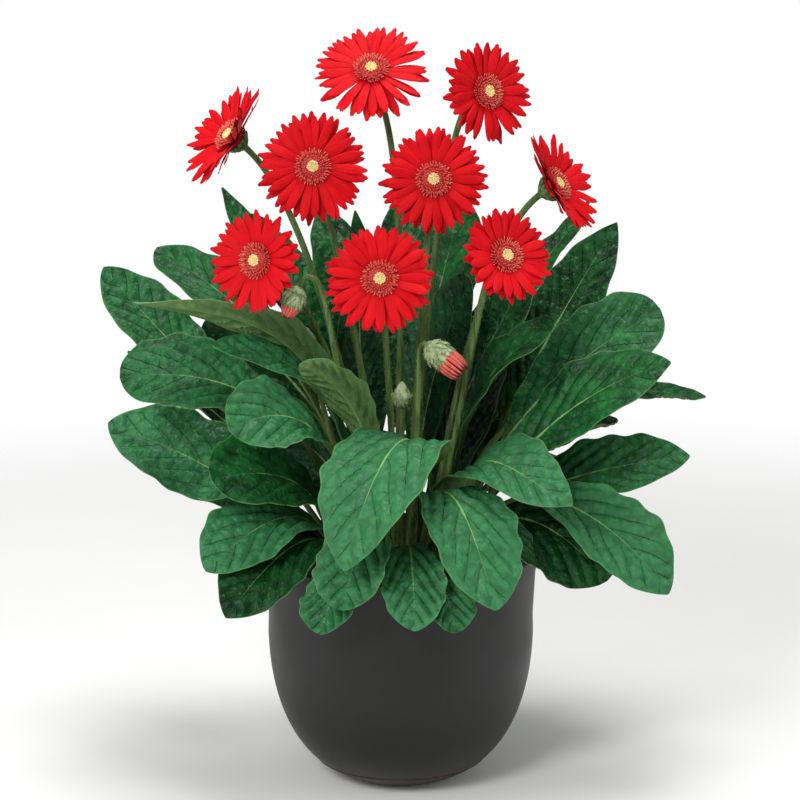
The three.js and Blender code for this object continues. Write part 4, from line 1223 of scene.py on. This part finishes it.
# ---- Florets -----------------------------------------------------------------------
# The middle of a bloom is a fringe of short red tongues and pale-tipped prongs, and in it
# a sunk eye of shut yellow florets, set in the spiral in which they grow.

EYE_FLORETS = 62
EYE_SPACING = 0.58
EYE_HEIGHT = 4.4
EYE_DISH = 0.12  # its rise towards the rim
GOLDEN_ANGLE = 2.39996323
# Radius, height, tilt in degrees and number for each ring of prongs.
PRONG_ROWS = [(5.6, 2.8, 74, 26), (7.0, 2.8, 60, 30), (8.6, 2.4, 44, 34), (10.0, 2.0, 24, 36)]
TONGUE_ROWS = [(8.0, 44, 0), (8.6, 26, 0.5)]  # radius, tilt, turn in steps
TONGUES_PER_ROW = 34
TONGUE_HEIGHT = 1.4


def tipped_finish(name, low, high, roughness=0.55):
    """Dark at the root and pale at the tip."""
    material, tree, skin = new_finish(name, roughness)
    along = marks(tree, "along")[0]
    specks = mottled(tree, object_place(tree), 900.0, paint("d8d0c8"), paint("ffffff"))
    shade = blended(tree, ramp(tree, along, 0.25, 0.85), low, high)
    tinted = node(tree, "ShaderNodeMix", {0: 1.0, 6: shade, 7: specks.outputs["Color"]},
                  data_type="RGBA", blend_type="MULTIPLY").outputs[2]
    tree.links.new(tinted, skin.inputs["Base Color"])
    relief(tree, skin, specks.outputs["Height"], 0.0002)
    return material


def disc_tree():
    """The fringe and the eye of a bloom, on a low red bed."""
    tree, given = new_tree("disc", {
        "Geometry": "Geometry", "Tongue": "Object", "Prong": "Object", "Floret": "Object",
        "Seed": 1, "Red": "Material", "Cream": "Material", "Yellow": "Material"})
    seed = given["Seed"]
    tongues = [whorl(tree, {
        "Parts": parts_of(tree, given["Tongue"]), "Count": TONGUES_PER_ROW,
        "Radius": radius * MM, "Height": TONGUE_HEIGHT * MM, "Tilt": math.radians(tilt),
        "Turn": turn, "Spread": 0.3, "Tilt Spread": 0.12, "Roll Spread": 0.3,
        "Shortest": 0.8, "Longest": 1.1, "Seed": seed})
        for radius, tilt, turn in TONGUE_ROWS]
    prongs = [whorl(tree, {
        "Parts": parts_of(tree, given["Prong"]), "Count": count, "Radius": radius * MM,
        "Height": height * MM, "Tilt": math.radians(tilt), "Turn": 0.37 * row, "Spread": 0.4,
        "Tilt Spread": 0.16, "Roll Spread": 0.3, "Shortest": 0.8, "Longest": 1.15,
        "Seed": plus(tree, seed, 11 * row)})
        for row, (radius, height, tilt, count) in enumerate(PRONG_ROWS)]
    index = made(tree, "GeometryNodeInputIndex")
    angle = times(tree, index, GOLDEN_ANGLE)
    out = times(tree, maths(tree, "SQRT", index), EYE_SPACING * MM)
    spiral = joined_xyz(tree, times(tree, maths(tree, "COSINE", angle), out),
                        times(tree, maths(tree, "SINE", angle), out),
                        maths(tree, "MULTIPLY_ADD", out, EYE_DISH, EYE_HEIGHT * MM))
    spots = made(tree, "GeometryNodePoints", {"Count": EYE_FLORETS, "Position": spiral})
    size = randomly(tree, 0.85, 1.15, seed, 60)
    eye = made(tree, "GeometryNodeInstanceOnPoints",
               {"Points": spots, "Instance": form_of(tree, given["Floret"]),
                "Scale": joined_xyz(tree, size, size, size)})
    red = coated(tree, gathered(tree, given["Geometry"], *tongues), given["Red"])
    cream = coated(tree, gathered(tree, *prongs), given["Cream"])
    yellow = coated(tree, gathered(tree, eye), given["Yellow"])
    return close_tree(tree, Geometry=gathered(tree, red, cream, yellow))


DISC_BED = [(0, 1.3), (5.5, 1.3), (9.6, 1.4), (9.8, 2.2), (7.4, 3.4), (5.4, 4.2), (0, 4.4)]
FLORET = [(0, -0.3), (0.5, 0.1), (0.58, 0.7), (0.36, 1.1), (0, 1.2)]
PRONG_LENGTH = 4.9
PRONG_RADII = [0.2, 0.24, 0.28, 0.32, 0.2]
PRONG_RISE = 0.7
TONGUE_LENGTH = 5.6


def prong_part():
    """A thin curved bar, thickest near its tip."""
    path = [(PRONG_LENGTH * s, 0, PRONG_RISE * s * s) for s in np.linspace(0, 1, 5)]
    points, faces = tube(path, PRONG_RADII, 4)
    part = formed("prong", points, faces, sharp=100)
    mark(part.data, along=points[:, 0] / PRONG_LENGTH)
    return part


tongue = strip_part("tongue", 5, 3, lambda s, v: (TONGUE_LENGTH * s, (0.8 - 0.5 * s ** 3) * v),
                    lambda s, v: 0.6 * math.sin(math.pi * s) + 0.25 * v * v, 0.3)
prong = prong_part()
floret = formed("floret", *turned(FLORET, 6))
CREAM = tipped_finish("cream_prong", paint("d83430"), paint("ff9a7c"))
CRIMSON = tipped_finish("crimson_tongue", paint("d2242a"), paint("f04a44"))
YELLOW = plain_finish("yellow_floret", paint("f6da80"), paint("fff0b4"), 500.0, 0.6, 0.0001)
DISC = disc_tree()
for number, bloom in enumerate(BLOOMS, 1):
    bed = new_mesh("bed", *turned(DISC_BED, 24))
    disc = run_tree(f"florets_{number}", DISC, bed, {
        "Tongue": tongue, "Prong": prong, "Floret": floret, "Seed": number, "Red": CRIMSON,
        "Cream": CREAM, "Yellow": YELLOW})
    disc.transform(bloom_frame(bloom)[1])
    mounted(placed(f"florets_{number}", disc), "disc", f"disc_{number}")

# ---- Buds --------------------------------------------------------------------------
# Two nodding buds show the rolled ends of their petals, salmon outside and red in the
# folds, deepened there with painted shade. Two young buds are shut. Each sits in scale
# leaves on a downy stalk of its own.

BUDS = [
    {"root": (-9.5, -15.5), "axis": (-0.42, -0.15, -0.9), "scale": 0.85, "open": 11,
     "tip": 3.4,
     "route": [(-24, -28, 250), (-49, -46, 345), (-58, -54, 395), (-65, -58, 416),
               (-73, -60, 419), (-78, -60, 410)]},
    {"root": (9.5, -15.5), "axis": (0.79, -0.15, -0.6), "scale": 1.0, "open": 16,
     "tip": 7.2,
     "route": [(11, -36, 240), (13, -47, 305), (14.5, -50, 347), (14.8, -50, 359.5),
               (17.5, -50, 365), (21, -50.5, 363.5)]},
    {"root": (0, -15.5), "axis": (0, -0.2, 1), "scale": 0.78, "open": 0,
     "route": [(-0.5, -21, 200), (0, -33, 260), (1, -40, 313.5)]},
    {"root": (-19, 1.5), "axis": (-0.2, 0.1, 1), "scale": 0.62, "open": 0,
     "route": [(-40, 5, 230), (-62, 11, 300), (-73, 14, 350)]},
]
BUD_CUP = [(0, -2), (2.4, -2), (5, 0.4), (8.2, 4.4), (9.6, 10), (9.3, 16), (8.6, 19), (0, 19)]
SHUT_CUP = [(0, -2), (2.4, -2), (5, 0.4), (7.8, 4), (8.6, 9), (6.4, 17), (2.6, 25), (0, 26.5)]
BUD_SCALES_PER_ROW = 13
BUD_ROWS = [(2.6, -1.4, 42, 1.1, 0.1), (6.4, 1.2, 62, 1.4, 0.12), (8.9, 4.6, 84, 1.55, 0.3),
            (9.3, 8.2, 91, 1.2, 0.3)]
CALYX_TOP = 19
BUD_THINNING = 0.4
QUILL_ROWS = [(7.6, 17, 1.0), (5.9, 12, 0.99), (3.8, 8, 0.97)]  # radius, count, length
QUILL_FOOT = 14
CALYX_HAIRS_PER_SQUARE_METRE = 400000
QUILL_LENGTH = 24
QUILL_RADII = [1.6, 1.75, 1.75, 1.65, 1.5, 1.15, 0.45]
QUILL_BOW = 1.4


def centripetal(places):
    """A smooth line through places, its knots spaced by the root of their distance."""
    steps = 24  # from place to place
    places = [np.array(p, float) for p in places]
    places = [2 * places[0] - places[1], *places, 2 * places[-1] - places[-2]]
    line = []
    for a, b, c, d in zip(places, places[1:], places[2:], places[3:]):
        k = [0.0]
        for p, q in ((a, b), (b, c), (c, d)):
            k.append(k[-1] + math.sqrt(np.linalg.norm(q - p)))
        for t in np.linspace(k[1], k[2], steps, endpoint=False):
            ab = (k[1] - t) / (k[1] - k[0]) * a + (t - k[0]) / (k[1] - k[0]) * b
            bc = (k[2] - t) / (k[2] - k[1]) * b + (t - k[1]) / (k[2] - k[1]) * c
            cd = (k[3] - t) / (k[3] - k[2]) * c + (t - k[2]) / (k[3] - k[2]) * d
            abc = (k[2] - t) / (k[2] - k[0]) * ab + (t - k[0]) / (k[2] - k[0]) * bc
            bcd = (k[3] - t) / (k[3] - k[1]) * bc + (t - k[1]) / (k[3] - k[1]) * cd
            line.append((k[2] - t) / (k[2] - k[1]) * abc + (t - k[1]) / (k[2] - k[1]) * bcd)
    return np.array([*line, places[-2]])


def quill_part():
    """The rolled end of a petal: a bowed bar with a blunt tip."""
    shares = np.linspace(0, 1, len(QUILL_RADII))
    path = [(QUILL_LENGTH * s, 0, -QUILL_BOW * math.sin(math.pi * s)) for s in shares]
    points, faces = tube(path, QUILL_RADII, 8)
    part = formed("quill", points, faces, sharp=100)
    away = -points[:, 2] - QUILL_BOW * np.sin(math.pi * points[:, 0] / QUILL_LENGTH)
    mark(part.data, along=points[:, 0] / QUILL_LENGTH, outside=away / QUILL_RADII[0])
    return part


def quill_finish():
    """Salmon on the side that faces out, a deep red on the other, partly the petals' own red and
    partly painted shade in the folds.
    """
    material, tree, skin = new_finish("salmon_quill", 0.55)
    outside, tone = marks(tree, "outside", "tone")
    stretched = made(tree, "ShaderNodeMapping", {"Vector": object_place(tree),
                                                 "Scale": (1, 1, 0.3)})
    clouds = mottled(tree, stretched, 260.0, paint("cf5246"), paint("e87866"))
    shade = blended(tree, times(tree, tone, 0.4), clouds.outputs["Color"], paint("d8453f"))
    # The deep red on one side of each quill is partly the petals' red and partly painted shade in
    # the folds between quills.
    shade = blended(tree, ramp(tree, times(tree, outside, -1.0), -0.75, -0.25), shade,
                    paint("5e0a10"))
    tree.links.new(shade, skin.inputs["Base Color"])
    relief(tree, skin, clouds.outputs["Height"], 0.0003)
    return material


def rings_tree(name, rows, width):
    """Rings of one part up a bud. rows: radius, height, count, tilt in degrees, size and how
    much further it leans in on a shut bud. width: stretch across a part."""
    tree, given = new_tree(name, {
        "Part": "Object", "Seed": 1, "Length": 1.0, "Closed": 0.0, "Finish": "Material"})
    part = parts_of(tree, given["Part"])
    rings = [whorl(tree, {
        "Parts": part, "Count": count, "Radius": radius * MM, "Height": height * MM,
        "Tilt": maths(tree, "MULTIPLY_ADD", given["Closed"], close, math.radians(tilt)),
        "Turn": 0.5 * row, "Spread": 0.12, "Tilt Spread": 0.03, "Roll Spread": 0.1,
        "Shortest": times(tree, given["Length"], size * 0.94),
        "Longest": times(tree, given["Length"], size * 1.04),
        "Width": width, "Seed": plus(tree, given["Seed"], row)})
        for row, (radius, height, count, tilt, size, close) in enumerate(rows)]
    return close_tree(tree, Geometry=coated(tree, gathered(tree, *rings), given["Finish"]))


BUD_SKIN = plain_finish("bud_scale", paint("6f8c50"), paint("b4c096"), 240.0, 0.65, 0.0003)
BUD_SCALES = rings_tree("bud_scales", [(r, z, BUD_SCALES_PER_ROW, tilt, size, close)
                                       for r, z, tilt, size, close in BUD_ROWS], 1.15)
QUILLS = rings_tree("quills", [(r, QUILL_FOOT, count, 90, size, r / QUILL_ROWS[0][0])
                               for r, count, size in QUILL_ROWS], 1.0)
quill = quill_part()
SALMON = quill_finish()
for number, bud in enumerate(BUDS, 1):
    root = (*bud["root"], SOIL_LEVEL - ROOT_DEPTH)
    start = (*bud["root"], SOIL_LEVEL - ROOT_DEPTH + ROOT_LENGTH)
    line = centripetal([root, start, *bud["route"]])
    bar = new_mesh(f"bud_{number}", *stalk_shape(line, BUD_THINNING), STALK_SKIN)
    bar = downy(f"bud_{number}", bar, HAIRS_PER_SQUARE_METRE, 20 + number)
    turn = Vector((0, 0, 1)).rotation_difference(Vector(bud["axis"])).to_matrix().to_4x4()
    frame_of_bud = (Matrix.Translation(Vector(bud["route"][-1]) * MM) @ turn
                    @ Matrix.Scale(bud["scale"], 4))
    shut = bud["open"] == 0
    cup = new_mesh("cup", *turned(SHUT_CUP if shut else BUD_CUP, CUP_SIDES), BUD_SKIN)
    scales = run_tree("scales", BUD_SCALES, bpy.data.meshes.new("empty"), {
        "Part": scale_leaf, "Seed": number, "Closed": 1.0 if shut else 0.0, "Finish": BUD_SKIN})
    scales = downy("scales", scales, CALYX_HAIRS_PER_SQUARE_METRE, 40 + number)
    for mesh in (cup, scales):
        mesh.transform(frame_of_bud)
    mounted(merged(f"bud_stalk_{number}", [bar, cup, scales]), "stalk", f"bud_{number}")
    if not shut:
        reach = bud["open"] + CALYX_TOP - QUILL_FOOT
        outer = QUILL_ROWS[0][0]
        quills = run_tree("quills", QUILLS, bpy.data.meshes.new("empty"), {
            "Part": quill, "Seed": number, "Length": reach / QUILL_LENGTH,
            "Closed": math.atan2(outer - bud["tip"] + 1, reach), "Finish": SALMON})
        quills.transform(frame_of_bud)
        mounted(placed(f"bud_quills_{number}", quills), "petal", f"bud_petals_{number}")

for part in (hair, scale_leaf, *petals, tongue, prong, floret, quill):
    bpy.data.objects.remove(part)

# ---- Studio ------------------------------------------------------------------------
# A plain pale floor under soft light from above and from both sides.

CAMERA_DISTANCE = 2000
CAMERA_ELEVATION = 12
CAMERA_TARGET = (-0.6, 0, 309.5)
LENS = 112.5
FLOOR_RADIUS = 1500
FLOOR_FADE = (0.8, 1.45)  # metres from the middle, where the floor passes into the white air
AIR_LIGHT = 0.36


def floor_finish():
    material, tree, skin = new_finish("pale_floor", 0.8, 0.2)
    where = object_place(tree)
    shade = mottled(tree, where, 3.0, paint("f7f7f6"), paint("fbfbfa"))
    tree.links.new(shade.outputs["Color"], skin.inputs["Base Color"])
    fading = ramp(tree, reach_of(tree, where), *FLOOR_FADE, 1.0, 0.0)
    tree.links.new(fading, skin.inputs["Alpha"])
    return material


formed("studio_floor", *turned([(FLOOR_RADIUS, -0.5), (0, -0.5)], 96),
                floor_finish())

world = bpy.data.worlds.new("studio_air")
bpy.context.scene.world = world
world.use_nodes = True
air = world.node_tree
air.nodes.clear()
glow = maths(air, "MAXIMUM", node(air, "ShaderNodeLightPath").outputs["Is Camera Ray"], AIR_LIGHT)
backdrop = node(air, "ShaderNodeBackground", {"Color": (1, 1, 1, 1), "Strength": glow})
node(air, "ShaderNodeOutputWorld", {"Surface": backdrop.outputs[0]})


def softbox(name, place, size, power):
    """A soft window of light, turned to the middle of the plant."""
    light = bpy.data.lights.new(name, "AREA")
    light.shape = "RECTANGLE"
    light.size, light.size_y = size
    light.energy = power
    lamp = bpy.data.objects.new(name, light)
    bpy.context.scene.collection.objects.link(lamp)
    lamp.location = Vector(place)
    lamp.rotation_euler = (Vector((0, 0, 0.3)) - lamp.location).to_track_quat("-Z", "Y").to_euler()


softbox("key_light", (-1.0, -1.9, 1.7), (0.8, 0.8), 31)
softbox("top_light", (0.1, 0.1, 2.4), (1.0, 1.0), 30)
softbox("left_strip", (-1.9, -0.7, 0.6), (0.4, 1.6), 9)
softbox("right_strip", (1.9, -0.8, 0.6), (0.4, 1.6), 9)

camera = bpy.data.cameras.new("camera")
camera.sensor_width = 36
camera.lens = LENS
view = bpy.data.objects.new("camera", camera)
bpy.context.scene.collection.objects.link(view)
tilt = math.radians(CAMERA_ELEVATION)
view.location = Vector((CAMERA_TARGET[0], -CAMERA_DISTANCE * math.cos(tilt),
                        CAMERA_TARGET[2] + CAMERA_DISTANCE * math.sin(tilt))) * MM
view.rotation_euler = (math.radians(90 - CAMERA_ELEVATION), 0, 0)
bpy.context.scene.camera = view
bpy.context.scene.view_settings.view_transform = "Standard"
